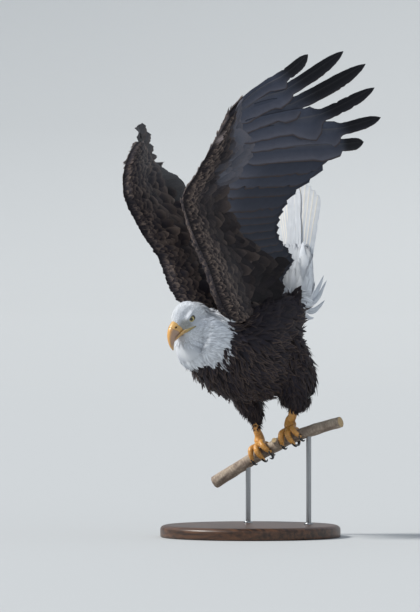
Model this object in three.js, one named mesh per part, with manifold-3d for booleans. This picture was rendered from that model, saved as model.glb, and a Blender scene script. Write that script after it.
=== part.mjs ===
// A bald eagle at life size, wings raised to take off, gripping a sloping length of branch that a
// plain display stand holds. Millimetres, +Z up. The bird faces -Y and its left side is +X.
// The origin is the centre of the underside of the stand's base.

import * as THREE from 'three';
import Module from 'manifold-3d';

const wasm = await Module();
wasm.setup();

// ---- driving sizes ----

const GAP = 0.3;                                // clearance between neighbouring pieces
const PERCH_MIDDLE = [5, 98, 214];              // middle of the branch, between the feet

const BASE_RADIUS = 215;
const BASE_THICK = 28;
const BASE_BEVEL = 5;
const ROD_RADIUS = 6;
const ROD_OFFSET = 104;                         // each rod's distance along X from the middle

const PERCH_RADIUS = 14;
const PERCH_SIDES = 12;
const BUDS = [                                  // old buds: place along it, swelling and reach
  { at: 0.5, swell: 1.6, reach: 0.05 },
  { at: 0.85, swell: 1.2, reach: 0.03 },
];
const STUB_RADIUS = 8;                          // a snapped side twig between the feet
const STUB_LENGTH = 24;

const EYE_RADIUS = 11.5;
const EYE_OFFSET = 18.5;                        // eyeball's centre from the middle of the head

const BLADE_THICK = 2.2;                        // flight feathers near the hand
const BLADE_TIP_THICK = 1;
const SHEET_THICK = 3.2;                        // overlapped flight feathers at their coverts
const SCALLOP = 0.018;                          // depth of the notch between two tips, as a share
const CAMBER = 0.07;                            // hollow of the wing, as a share of its chord

const TOE_RADIUS = 7.6;
const CLAW_RADIUS = 4.6;

// ---- materials ----

function material(color, roughness, metalness = 0) {
  return new THREE.MeshStandardMaterial({ color, roughness, metalness });
}

const BROWN_COAT = material('#2c2426', 0.85);
const WHITE_COAT = material('#dfe3ea', 0.85);
const FLIGHT = material('#3d3f49', 0.6);
const TAIL_WHITE = material('#e6e9ee', 0.65);
const HORN_YELLOW = material('#d9a441', 0.35);
const IRIS = material('#a9a35e', 0.1);
const SCALED_YELLOW = material('#d8a046', 0.5);
const CLAW_BLACK = material('#15151a', 0.25);
const BARK = material('#9d8f7f', 0.9);
const STAINED_WOOD = material('#3b2a20', 0.4);
const STEEL = material('#8d8f92', 0.35, 1);

// ---- solids ----

// A closed solid from points and triangles, turned so that its faces point out.
function solid(points, faces) {
  const vertProperties = new Float32Array(points.flatMap((p) => [p.x, p.y, p.z]));
  const make = (list) => new wasm.Manifold(new wasm.Mesh({
    numProp: 3, vertProperties, triVerts: new Uint32Array(list),
  }));
  let volume = 0;
  const cross = new THREE.Vector3();
  for (let i = 0; i < faces.length; i += 3) {
    const [a, b, c] = [faces[i], faces[i + 1], faces[i + 2]].map((k) => points[k]);
    volume += a.dot(cross.crossVectors(b, c));
  }
  if (volume > 0) return make(faces);
  const flipped = [];
  for (let i = 0; i < faces.length; i += 3) flipped.push(faces[i], faces[i + 2], faces[i + 1]);
  return make(flipped);
}

// Rings of equal length joined into a solid, with a fan over each end.
function loft(rings) {
  const count = rings[0].length;
  const points = rings.flat();
  const faces = [];
  for (let r = 0; r + 1 < rings.length; r++) {
    for (let i = 0; i < count; i++) {
      const a = r * count + i;
      const b = r * count + (i + 1) % count;
      faces.push(a, b, b + count, a, b + count, a + count);
    }
  }
  for (const first of [0, (rings.length - 1) * count]) {
    const ring = points.slice(first, first + count);
    const middle = ring.reduce((sum, p) => sum.add(p), new THREE.Vector3()).divideScalar(count);
    const hub = points.push(middle) - 1;
    for (let i = 0; i < count; i++) {
      const a = first + i;
      const b = first + (i + 1) % count;
      faces.push(...(first === 0 ? [hub, b, a] : [hub, a, b]));
    }
  }
  return solid(points, faces);
}

// A three.js geometry as a solid, with its shared vertices merged.
function fromGeometry(geometry) {
  const position = geometry.attributes.position;
  const points = [];
  const seen = new Map();
  const places = [];
  for (let i = 0; i < position.count; i++) {
    const p = new THREE.Vector3().fromBufferAttribute(position, i);
    const key = p.toArray().map((v) => v.toFixed(3)).join(' ').replaceAll('-0.000', '0.000');
    if (!seen.has(key)) seen.set(key, points.push(p) - 1);
    places.push(seen.get(key));
  }
  const index = geometry.index ? [...geometry.index.array] : places.map((_, i) => i);
  const faces = [];
  for (let i = 0; i < index.length; i += 3) {
    const [a, b, c] = [index[i], index[i + 1], index[i + 2]].map((k) => places[k]);
    if (a !== b && b !== c && c !== a) faces.push(a, b, c);
  }
  return solid(points, faces);
}

function toGeometry(shape) {
  const { vertProperties, triVerts } = shape.getMesh();
  const geometry = new THREE.BufferGeometry();
  geometry.setAttribute('position', new THREE.BufferAttribute(vertProperties, 3));
  geometry.setIndex(new THREE.BufferAttribute(triVerts, 1));
  geometry.computeVertexNormals();
  return geometry;
}

// The largest body of a shape, without the slivers that a cut can leave.
function largest(shape) {
  const bodies = shape.decompose();
  return bodies.reduce((best, body) => (body.volume() > best.volume() ? body : best));
}

// The half of a shape that lies on the far side of a plane, half a gap clear of it.
function beyond(shape, point, normal) {
  const size = 2000;
  const box = new THREE.BoxGeometry(size, size, size);
  box.translate(0, 0, size / 2 + GAP / 2);
  const turn = new THREE.Quaternion().setFromUnitVectors(new THREE.Vector3(0, 0, 1), normal);
  box.applyQuaternion(turn);
  box.translate(point.x, point.y, point.z);
  return shape.intersect(fromGeometry(box));
}

const vector = (place) => new THREE.Vector3(...place);
const mix = THREE.MathUtils.lerp;
const radians = THREE.MathUtils.degToRad;

// The value at place s of a list whose entries stand at 0, 1, 2 and so on, smoothly joined.
function along(list, s) {
  if (typeof list[0] === 'number') {
    const curve = new THREE.CatmullRomCurve3(list.map((v, i) => new THREE.Vector3(i, v, 0)));
    return curve.getPoint(s / (list.length - 1)).y;
  }
  return new THREE.CatmullRomCurve3(list.map(vector)).getPoint(s / (list.length - 1));
}

// A rounded limb along stations. Each has a place (at), half its width along side, and its height
// above (high) and below (low) the middle, where above is side turned a quarter from the way on.
// Grow adds to every half size.
function limb(stations, side, { rings = 10, sides = 16, grow = 0 } = {}) {
  const across = vector(side).normalize();
  const places = stations.map((s) => s.at);
  const wide = stations.map((s) => s.wide);
  const high = stations.map((s) => s.high ?? s.wide);
  const low = stations.map((s) => s.low ?? s.high ?? s.wide);
  const last = stations.length - 1;
  const path = new THREE.CatmullRomCurve3(places.map(vector));
  const loops = [];
  for (let r = 0; r <= rings; r++) {
    const s = (r / rings) * last;
    const tangent = path.getTangent(r / rings);
    const up = new THREE.Vector3().crossVectors(across, tangent).normalize();
    const flat = new THREE.Vector3().crossVectors(tangent, up).normalize();
    const middle = path.getPoint(r / rings);
    const loop = [];
    for (let i = 0; i < sides; i++) {
      const angle = (i / sides) * 2 * Math.PI;
      const rise = Math.sin(angle);
      const half = rise > 0 ? along(high, s) : along(low, s);
      loop.push(middle.clone()
        .addScaledVector(flat, Math.cos(angle) * (along(wide, s) + grow))
        .addScaledVector(up, rise * (half + grow)));
    }
    loops.push(loop);
  }
  return loft(loops);
}

// A thin or thick plate about a grid of middle places, each with its point, its normal and the
// thickness there.
function plate(grid) {
  const rows = grid.length;
  const columns = grid[0].length;
  const places = grid.flat();
  const upper = places.map((g) => g.point.clone().addScaledVector(g.normal, g.thick / 2));
  const lower = places.map((g) => g.point.clone().addScaledVector(g.normal, -g.thick / 2));
  const total = rows * columns;
  const faces = [];
  const quad = (a, b, c, d) => faces.push(a, b, c, a, c, d);
  for (let r = 0; r + 1 < rows; r++) {
    for (let c = 0; c + 1 < columns; c++) {
      const a = r * columns + c;
      quad(a, a + 1, a + columns + 1, a + columns);
      quad(a + total, a + columns + total, a + columns + 1 + total, a + 1 + total);
    }
  }
  const rim = [];
  for (let c = 0; c < columns; c++) rim.push(c);
  for (let r = 1; r < rows; r++) rim.push(r * columns + columns - 1);
  for (let c = columns - 2; c >= 0; c--) rim.push((rows - 1) * columns + c);
  for (let r = rows - 2; r > 0; r--) rim.push(r * columns);
  rim.forEach((a, i) => {
    const b = rim[(i + 1) % rim.length];
    quad(a, a + total, b + total, b);
  });
  return solid([...upper, ...lower], faces);
}

// ---- the object's scene graph ----

const eagle = new THREE.Group();
const bird = new THREE.Group();                 // all that is measured from the branch's middle
bird.position.set(...PERCH_MIDDLE);
eagle.add(bird);

function add(name, shape, finish, parent = bird) {
  const mesh = new THREE.Mesh(toGeometry(largest(shape)), finish);
  mesh.name = name;
  parent.add(mesh);
}

// ---- branch ----

// From here on, places are measured from the branch's middle, unless they say otherwise.
const PERCH_LINE = [
  [-172, -30, -90], [-92, -14, -44], [-46, -5, -18], [0, 0, 4], [48, 6, 24], [95, 13, 39],
  [172, 25, 60],
];
const perchPath = new THREE.CatmullRomCurve3(PERCH_LINE.map(vector));

// The branch is a little thicker at its lower end and swells at two old buds.
function perchRadius(t) {
  let radius = PERCH_RADIUS * mix(1.08, 0.92, t);
  for (const { at, swell, reach } of BUDS) radius += swell * Math.exp(-(((t - at) / reach) ** 2));
  return radius;
}

function perch(grow) {
  const steps = 12;
  const loops = [];
  for (let i = 0; i <= steps; i++) {
    const t = i / steps;
    const tangent = perchPath.getTangent(t);
    const up = new THREE.Vector3(0, 0, 1).addScaledVector(tangent, -tangent.z).normalize();
    const ahead = new THREE.Vector3().crossVectors(tangent, up);
    const loop = [];
    for (let k = 0; k < PERCH_SIDES; k++) {
      const angle = (k / PERCH_SIDES) * 2 * Math.PI;
      loop.push(perchPath.getPoint(t)
        .addScaledVector(up, Math.cos(angle) * (perchRadius(t) + grow))
        .addScaledVector(ahead, Math.sin(angle) * (perchRadius(t) + grow)));
    }
    loops.push(loop);
  }
  const stub = limb([
    { at: [6, -4, 4], wide: STUB_RADIUS + 2 },
    { at: [10, -PERCH_RADIUS, 6], wide: STUB_RADIUS },
    { at: [15, -PERCH_RADIUS - STUB_LENGTH / 2, 10], wide: STUB_RADIUS - 1 },
    { at: [19, -PERCH_RADIUS - STUB_LENGTH, 15], wide: STUB_RADIUS - 2 },
  ], [0, 0, 1], { rings: 4, sides: 8, grow });
  return loft(loops).add(stub);
}

const branch = perch(0);
const branchClear = perch(GAP);

// ---- stand ----

function stand() {
  const outline = [
    [0, 0], [BASE_RADIUS, 0], [BASE_RADIUS, BASE_THICK - 2 * BASE_BEVEL],
    [BASE_RADIUS - BASE_BEVEL, BASE_THICK - BASE_BEVEL], [BASE_RADIUS - 3 * BASE_BEVEL, BASE_THICK],
    [0, BASE_THICK],
  ];
  const disc = new THREE.LatheGeometry(outline.map((p) => new THREE.Vector2(...p)), 32);
  disc.rotateX(Math.PI / 2);
  add('stand_base', fromGeometry(disc), STAINED_WOOD, eagle);
  for (const [name, x] of [['stand_rod_left', ROD_OFFSET], ['stand_rod_right', -ROD_OFFSET]]) {
    const t = (x - PERCH_LINE[0][0]) / (PERCH_LINE.at(-1)[0] - PERCH_LINE[0][0]);
    const top = perchPath.getPoint(t);
    const foot = BASE_THICK + GAP - PERCH_MIDDLE[2];
    const rod = new THREE.CylinderGeometry(ROD_RADIUS, ROD_RADIUS, top.z - foot, 12);
    rod.rotateX(Math.PI / 2);
    rod.translate(top.x, top.y, (top.z + foot) / 2);
    add(name, fromGeometry(rod).subtract(branchClear), STEEL);
  }
  add('perch', branch, BARK);
}

// ---- trunk ----

const TRUNK = [
  { at: [0, 70, 338], wide: 30, high: 20, low: 28 },
  { at: [0, 42, 322], wide: 46, high: 44, low: 48 },
  { at: [0, -12, 296], wide: 68, high: 66, low: 112 },
  { at: [0, -75, 270], wide: 96, high: 78, low: 164 },
  { at: [0, -135, 250], wide: 106, high: 80, low: 142 },
  { at: [0, -190, 236], wide: 104, high: 80, low: 124 },
  { at: [0, -240, 222], wide: 88, high: 66, low: 96 },
  { at: [0, -276, 208], wide: 56, high: 40, low: 62 },
  { at: [0, -292, 200], wide: 14, high: 12, low: 18 },
];
const trunkShape = (grow) => limb(TRUNK, [-1, 0, 0], { rings: 12, sides: 18, grow });
const trunkSolid = trunkShape(0);
const trunkClear = trunkShape(GAP);

// ---- head, modelled level and facing -Y about the point between its eyes, then turned ----

const HEAD_PLACE = [-15, -327, 306];
const HEAD_YAW = radians(-10);                  // towards the bird's right
const HEAD_PITCH = radians(46);                 // nose down
const headTurn = new THREE.Matrix4()
  .makeRotationZ(HEAD_YAW)
  .multiply(new THREE.Matrix4().makeRotationX(HEAD_PITCH))
  .setPosition(...HEAD_PLACE);

const turned = (shape) => shape.transform(headTurn.elements);

// The skull with its feathers, from nape to forehead: flat crown, brows, cheeks and chin.
const SKULL = [
  { at: [0, 54, -20], wide: 22, high: 12, low: 20 },
  { at: [0, 42, -12], wide: 37, high: 22, low: 36 },
  { at: [0, 22, -2], wide: 38, high: 32, low: 42 },
  { at: [0, 2, 0], wide: 28, high: 38, low: 37 },
  { at: [0, -18, -1], wide: 26, high: 34, low: 26 },
  { at: [0, -31, 0], wide: 20, high: 26, low: 17 },
  { at: [0, -37, -1], wide: 9, high: 12, low: 9 },
];

// Upper bill: deep cere, arched ridge and a hook that ends below the lower bill.
const UPPER_BILL = [
  { at: [0, -16, 4], wide: 15, high: 16, low: 12 },
  { at: [0, -33, 5.5], wide: 14.5, high: 17, low: 13 },
  { at: [0, -49, 6], wide: 12, high: 15, low: 13 },
  { at: [0, -61, 2], wide: 9.5, high: 11, low: 9.5 },
  { at: [0, -69.5, -5.5], wide: 7, high: 8, low: 7 },
  { at: [0, -75.5, -15], wide: 4, high: 5, low: 4.5 },
  { at: [0, -78.5, -25], wide: 1.2, high: 1.4, low: 1.4 },
];

const LOWER_BILL = [
  { at: [0, -14, -15], wide: 13.5, high: 4.5, low: 5.5 },
  { at: [0, -34, -12], wide: 11, high: 4.5, low: 5 },
  { at: [0, -52, -10], wide: 8.5, high: 4, low: 4.2 },
  { at: [0, -65, -9], wide: 5, high: 3, low: 2.8 },
  { at: [0, -70, -8.6], wide: 1.6, high: 1.2, low: 1.4 },
];

const NECK = [
  { at: [-16, -342, 272], wide: 24, high: 16, low: 44 },
  { at: [-14, -329, 283], wide: 38, high: 26, low: 64 },
  { at: [-12, -306, 289], wide: 54, high: 42, low: 80 },
  { at: [-8, -276, 278], wide: 66, high: 58, low: 84 },
  { at: [-4, -240, 262], wide: 80, high: 64, low: 88 },
  { at: [0, -196, 248], wide: 84, high: 66, low: 80 },
];

const neckShape = (grow) => limb(NECK, [1, 0, 0], { rings: 6, sides: 14, grow });
const bodyClear = trunkClear.add(neckShape(GAP));

function headAndNeck() {
  const upper = (grow) => turned(limb(UPPER_BILL, [-1, 0, 0], { rings: 8, sides: 8, grow }));
  const lower = (grow) => turned(limb(LOWER_BILL, [-1, 0, 0], { rings: 4, sides: 8, grow }));
  const eye = (x, radius) => {
    const ball = new THREE.SphereGeometry(radius, 10, 6);
    ball.translate(x, 0, 0);
    return turned(fromGeometry(ball));
  };
  const skull = turned(limb(SKULL, [-1, 0, 0], { rings: 9, sides: 14 }));
  const whole = skull.add(neckShape(0)).subtract(trunkClear);
  const cut = new THREE.Vector3(0, 1, -0.05).transformDirection(headTurn);
  const place = new THREE.Vector3(0, 40, 0).applyMatrix4(headTurn);
  let head = beyond(whole, place, cut.clone().negate());
  head = head.subtract(upper(GAP)).subtract(lower(GAP));
  for (const [name, x] of [['eye_left', EYE_OFFSET], ['eye_right', -EYE_OFFSET]]) {
    head = head.subtract(eye(x, EYE_RADIUS + GAP));
    add(name, eye(x, EYE_RADIUS).subtract(upper(GAP)), IRIS);
  }
  add('head', head, WHITE_COAT);
  add('neck', beyond(whole, place, cut), WHITE_COAT);
  add('bill_upper', upper(0), HORN_YELLOW);
  add('bill_lower', lower(0).subtract(upper(GAP)), HORN_YELLOW);
}

// ---- tail ----

// The feathered stump with its fluffed coverts, and the fan that stands out of it.
const TAIL_STUMP = [
  { at: [0, 54, 328], wide: 30, high: 26, low: 26 },
  { at: [0, 70, 350], wide: 41, high: 26, low: 38 },
  { at: [0, 74, 386], wide: 43, high: 24, low: 36 },
  { at: [0, 71, 428], wide: 44, high: 16, low: 22 },
  { at: [0, 68, 468], wide: 44, high: 8, low: 12 },
  { at: [0, 66, 490], wide: 38, high: 4, low: 5 },
];
const TAIL_ROOT = [0, 64, 346];
const TAIL_ROOT_HALF = 12;
const TAIL_SPREAD = radians(12.8);              // from the middle to an outermost feather
const TAIL_LEAN = 0.01;                         // backward lean of the fan
const TAIL_LENGTH = 294;
const TAIL_ROUND = 38;                          // how much shorter the outermost feathers are
const TAIL_CUP = 9;                             // how far back the outermost feathers lie
const TAIL_FEATHERS = 12;

function tail() {
  const stump = (grow) => limb(TAIL_STUMP, [1, 0, 0], { rings: 6, sides: 12, grow })
    .subtract(trunkClear);
  const columns = 2 * TAIL_FEATHERS;
  const rows = 3;
  const grid = [];
  for (let r = 0; r <= rows; r++) {
    const share = r / rows;
    const line = [];
    for (let c = 0; c <= columns; c++) {
      const s = (2 * c) / columns - 1;
      const notch = SCALLOP * (c % 2 === 0 && c > 0 && c < columns ? 1 : 0);
      const length = (TAIL_LENGTH - TAIL_ROUND * s * s) * share * (1 - notch * share);
      const angle = s * TAIL_SPREAD;
      line.push({
        point: new THREE.Vector3(
          TAIL_ROOT[0] + s * TAIL_ROOT_HALF + Math.sin(angle) * length,
          TAIL_ROOT[1] + TAIL_LEAN * length + TAIL_CUP * s * s,
          TAIL_ROOT[2] + Math.cos(angle) * length,
        ),
        normal: new THREE.Vector3(0, 1, 0),
        thick: mix(SHEET_THICK, BLADE_TIP_THICK, share),
      });
    }
    grid.push(line);
  }
  const fan = plate(grid);
  add('tail_base', stump(0), WHITE_COAT);
  add('tail', fan.subtract(stump(GAP)), TAIL_WHITE);
}

// ---- wings ----

// Each wing has nine stations: body, upper arm, elbow, forearm, wrist and four along the hand.
// Lead is the front edge. End is where the flight feathers stop, or where the six outer ones
// part into fingers.
const WINGS = {
  left: {
    lead: [
      [58, -238, 292], [70, -304, 360], [68, -338, 427], [60, -386, 511], [58, -413, 590],
      [76, -391, 640], [95, -372, 687], [113, -356, 731], [130, -338, 775],
    ],
    end: [
      [22, -8, 352], [12, 8, 402], [14, 44, 446], [33, -35, 510], [112, -93, 588],
      [178, -50, 658], [204, -18, 735], [153, -138, 808], [118, -150, 892],
    ],
    fingers: [
      [215, 58, 728], [225, 111, 787], [210, 106, 858], [185, 103, 915], [150, 62, 945],
      [105, -18, 936],
    ],
  },
  right: {
    lead: [
      [-58, -240, 300], [-85, -293, 378], [-108, -305, 445], [-132, -350, 520], [-152, -382, 600],
      [-170, -362, 655], [-190, -325, 690], [-212, -285, 711], [-236, -240, 728],
    ],
    end: [
      [-50, -4, 350], [-84, 40, 398], [-126, 66, 442], [-196, -10, 528], [-250, -64, 642],
      [-335, -15, 664], [-388, -14, 693], [-367, -70, 728], [-376, -78, 768],
    ],
    fingers: [
      [-429, 66, 690], [-477, 101, 712], [-505, 124, 736], [-514, 124, 766], [-506, 95, 787],
      [-477, 41, 766],
    ],
  },
};
const WRIST = 4;                                // the wrist's station
const HAND_TIP = 8;
const ARM_SHARE = [0.5, 0.46, 0.42, 0.37, 0.32, 0.27, 0.27, 0.27, 0.26];
const ARM_THICK = [50, 44, 38, 32, 28, 22, 18, 15, 10];
const ARM_COLUMN = 1 / 3;                       // stations between the columns of the arm's mesh
const HAND_COLUMN = 1 / 2;
const INNER_FEATHERS = 17;                      // secondaries and tertials
const PRIMARIES = 10;
const FIRST_FINGER = 5;                         // the first of the ten that stands apart
const STATION_LENGTH = 80;                      // usual way from one station to the next
const STATION_CLEAR = 0.005;                    // how far a part stops short of its end stations
const CHORD_LENGTH = 300;                       // usual way from the front edge to the end
const CHORD_CLEAR = 0.003;                      // gap behind the arm, as a share of the chord
const ARM_ROWS = [0, 0.07, 0.25, 0.6, 1];       // rows of the arm's mesh, front to back
const ARM_FRONT_THICK = 4;                      // the arm's front edge, before its bulge
const FINGER_STEPS = [0, 0.25, 0.5, 0.7, 0.85, 0.95, 1]; // rings of a finger, from its root to its tip
const FINGER_WIDE = [36, 38, 38, 38, 34, 27];   // width of each finger half way along, innermost first
const FINGER_CLEAR = 0.025;                     // stations left free on each side of a finger
const FINGER_EVEN = 0.5;                        // share of a finger before its tip's taper

// The station of a primary's root on the hand, the first at the wrist.
const primaryStation = (number) => mix(WRIST, HAND_TIP, (number - 0.5) / PRIMARIES);

// A point of a wing's middle surface, from its front edge (c = 0) to its end (c = 1).
function wingPoint(wing, way, s, c) {
  const lead = along(wing.lead, s);
  const end = along(wing.end, s);
  const ahead = along(wing.lead, Math.min(s + 0.1, HAND_TIP));
  const span = ahead.sub(along(wing.lead, Math.max(s - 0.1, 0)));
  const chord = new THREE.Vector3().subVectors(end, lead);
  const dorsal = new THREE.Vector3().crossVectors(span, chord).normalize().multiplyScalar(way);
  const bow = 4 * c * (1 - c) * CAMBER * chord.length();
  return lead.addScaledVector(chord, c).addScaledVector(dorsal, bow);
}

// A place of a wing's middle surface with its normal, for a plate.
function wingPlace(wing, way, s, c, thick) {
  const slope = (ds, dc) => new THREE.Vector3().subVectors(
    wingPoint(wing, way, THREE.MathUtils.clamp(s + ds, 0, HAND_TIP), c + dc),
    wingPoint(wing, way, THREE.MathUtils.clamp(s - ds, 0, HAND_TIP), c - dc),
  );
  const normal = slope(0.05, 0).cross(slope(0, 0.02)).normalize();
  return { point: wingPoint(wing, way, s, c), normal, thick };
}

// Even stations from one to another, short of both by a little so that neighbours stay clear.
function stationsBetween(from, to, columns, grow) {
  const clear = STATION_CLEAR - grow / STATION_LENGTH;
  const list = [];
  for (let c = 0; c <= columns; c++) list.push(mix(from + clear, to - clear, c / columns));
  return list;
}

// A part of the arm: thick behind its round front edge, thin where the flight feathers start.
function armPart(wing, way, from, to, column, grow) {
  const columns = Math.round((to - from) / column);
  return plate(ARM_ROWS.map((row) => stationsBetween(from, to, columns, grow).map((s) => {
    const bulge = Math.min(2.6 * Math.sqrt(row) * (1 - row) ** 1.2, 1);
    const edges = mix(ARM_FRONT_THICK, SHEET_THICK + 1, row);
    const thick = edges + along(ARM_THICK, s) * bulge + 2 * grow;
    return wingPlace(wing, way, s, row * (along(ARM_SHARE, s) + grow / CHORD_LENGTH), thick);
  })));
}

// The back edge of the arm, which runs straight between the arm's columns, a gap behind it.
function armEdge(wing, way, s, column, thick) {
  const from = Math.min(Math.floor(s / column) * column, HAND_TIP - column);
  const [a, b] = [from, from + column].map((at) => (
    wingPlace(wing, way, at, along(ARM_SHARE, at) + CHORD_CLEAR, thick)
  ));
  const share = (s - from) / column;
  return { point: a.point.lerp(b.point, share), normal: a.normal.lerp(b.normal, share), thick };
}

// The flight feathers behind the arm, as one plate with a notch between each two tips.
function featherSheet(wing, way, from, to, feathers, column, notched, grow) {
  const stations = stationsBetween(from, to, 2 * feathers, grow);
  const rows = [0, 0.5, 1].map((row) => stations.map((s, i) => {
    const thick = mix(SHEET_THICK, BLADE_THICK, row) + 2 * grow;
    if (row === 0) return armEdge(wing, way, s, column, thick);
    const end = 1 + grow / CHORD_LENGTH - (notched(s) && i % 2 === 0 ? SCALLOP : 0);
    return wingPlace(wing, way, s, mix(along(ARM_SHARE, s), end, row), thick);
  }));
  return plate(rows);
}

// One of the six outer primaries, from the end of the sheet to its own tip.
function finger(wing, way, number) {
  const middle = primaryStation(number);
  const half = (HAND_TIP - WRIST) / PRIMARIES / 2 - FINGER_CLEAR;
  const tip = vector(wing.fingers[number - FIRST_FINGER]);
  const [a, m, b] = [-half, 0, half].map((d) => wingPoint(wing, way, middle + d, 1));
  const inner = [-half, 0, half].map((d) => wingPoint(wing, way, middle + d, 0.9));
  const wayOut = new THREE.Vector3().subVectors(m, inner[1]).normalize();
  const across = new THREE.Vector3().subVectors(b, a);
  const normal = new THREE.Vector3().crossVectors(across, wayOut).normalize();
  const length = tip.distanceTo(m);
  const wayFree = new THREE.Vector3().subVectors(tip, m).normalize();
  const width = across.clone().projectOnPlane(wayFree).length();
  const share = Math.min(FINGER_WIDE[number - FIRST_FINGER] / width, 1);
  const loops = [];
  for (const t of FINGER_STEPS) {
    // the vane narrows half way along to its own width, and ends in a point
    const narrow = mix(1, share, Math.min(t / FINGER_EVEN, 1));
    const end = Math.max((t - FINGER_EVEN) / (1 - FINGER_EVEN), 0) ** 2.2;
    const wide = narrow * Math.max((1 - end) ** 0.8, 0.08);
    const start = 2 * GAP * (1 - t);
    const bend = m.clone().addScaledVector(wayOut, length * t + start);
    const straight = new THREE.Vector3().lerpVectors(m, tip, t).addScaledVector(wayOut, start);
    const centre = straight.lerp(bend, 0.3 * (1 - t));
    const thick = mix(BLADE_THICK, BLADE_TIP_THICK, t) / 2;
    const loop = [];
    for (const [edge, lift] of [[a, 0.5], [m, 1], [b, 0.5], [b, -0.5], [m, -1], [a, -0.5]]) {
      loop.push(centre.clone()
        .addScaledVector(new THREE.Vector3().subVectors(edge, m), wide)
        .addScaledVector(normal, lift * thick));
    }
    loops.push(loop);
  }
  return loft(loops);
}

function wing(side) {
  const shape = WINGS[side];
  const way = side === 'left' ? 1 : -1;
  const arm = {
    upper_arm: (grow) => armPart(shape, way, 0, 2, ARM_COLUMN, grow),
    forearm: (grow) => armPart(shape, way, 2, WRIST, ARM_COLUMN, grow),
    hand: (grow) => armPart(shape, way, WRIST, HAND_TIP, HAND_COLUMN, grow),
  };
  // each part gives way to the body and to its inner neighbour
  let taken = bodyClear;
  for (const [name, part] of Object.entries(arm)) {
    add(`${name}_${side}`, part(0).subtract(taken), BROWN_COAT);
    taken = bodyClear.add(part(GAP));
  }
  const notched = (s) => s < primaryStation(FIRST_FINGER - 0.5);
  const inner = featherSheet(shape, way, 0, WRIST, INNER_FEATHERS, ARM_COLUMN, notched, 0);
  const outer = (grow) => (
    featherSheet(shape, way, WRIST, HAND_TIP, PRIMARIES, HAND_COLUMN, notched, grow)
  );
  add(`secondaries_${side}`, inner.subtract(bodyClear), FLIGHT);
  add(`primaries_${side}`, outer(0), FLIGHT);
  for (let number = FIRST_FINGER; number <= PRIMARIES; number++) {
    add(`primary_${number}_${side}`, finger(shape, way, number).subtract(outer(GAP)), FLIGHT);
  }
}

// ---- legs ----

// The feathered thigh and shank, then the bare tarsus down to the ball of the foot.
const LEGS = {
  left: {
    thigh: [
      { at: [52, -60, 300], wide: 20, high: 20, low: 22 },
      { at: [57, -48, 262], wide: 34, high: 34, low: 40 },
      { at: [61, -24, 208], wide: 42, high: 48, low: 56 },
      { at: [59, -4, 158], wide: 42, high: 58, low: 52 },
      { at: [55, 2, 124], wide: 34, high: 42, low: 42 },
    ],
    shank: [
      { at: [55, 2, 122], wide: 34, high: 42, low: 42 },
      { at: [53, 0, 106], wide: 32, high: 39, low: 38 },
      { at: [52, -1, 94], wide: 27, high: 32, low: 30 },
      { at: [51, -3, 87], wide: 15, high: 18, low: 17 },
    ],
    ankle: [50, 0, 98],
    footAt: 54,
  },
  right: {
    thigh: [
      { at: [-52, -92, 286], wide: 20, high: 24, low: 24 },
      { at: [-60, -86, 240], wide: 40, high: 56, low: 50 },
      { at: [-60, -78, 190], wide: 42, high: 56, low: 52 },
      { at: [-58, -62, 146], wide: 36, high: 46, low: 44 },
      { at: [-55, -48, 116], wide: 28, high: 35, low: 34 },
    ],
    shank: [
      { at: [-55, -47, 114], wide: 27, high: 34, low: 33 },
      { at: [-53, -34, 90], wide: 21, high: 25, low: 24 },
      { at: [-51, -20, 64], wide: 15, high: 17, low: 16 },
      { at: [-50, -14, 50], wide: 10.5, high: 11, low: 11 },
    ],
    ankle: [-52, -24, 74],
    footAt: -48,
  },
};

// Toes wrap the branch: turn is the angle round it from straight up, in degrees, forward first,
// and slide is how far the toe spreads along the branch by its end.
const TOES = [
  { name: 'inner', turn: [22, 118], slide: -26, start: -9, size: 1.04 },
  { name: 'middle', turn: [24, 134], slide: 2, start: 1, size: 1 },
  { name: 'outer', turn: [22, 112], slide: 28, start: 10, size: 0.94 },
  { name: 'hind', turn: [-22, -112], slide: -4, start: 0, size: 1.06 },
];
const BALL_HEIGHT = 29;                         // ball of the foot above the branch's middle line
const TOE_ARCH = 6;                             // how far a toe lifts off the branch at its knuckle
const CLAW_SWEEP = 62;                          // degrees of the branch that a claw reaches round
const BARE_SHARE = 0.72;                        // how far down the tarsus its slimmest place lies
const TOE_SWELL = [1, 0.92, 0.98, 0.86, 0.7];   // pads along a toe

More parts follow.
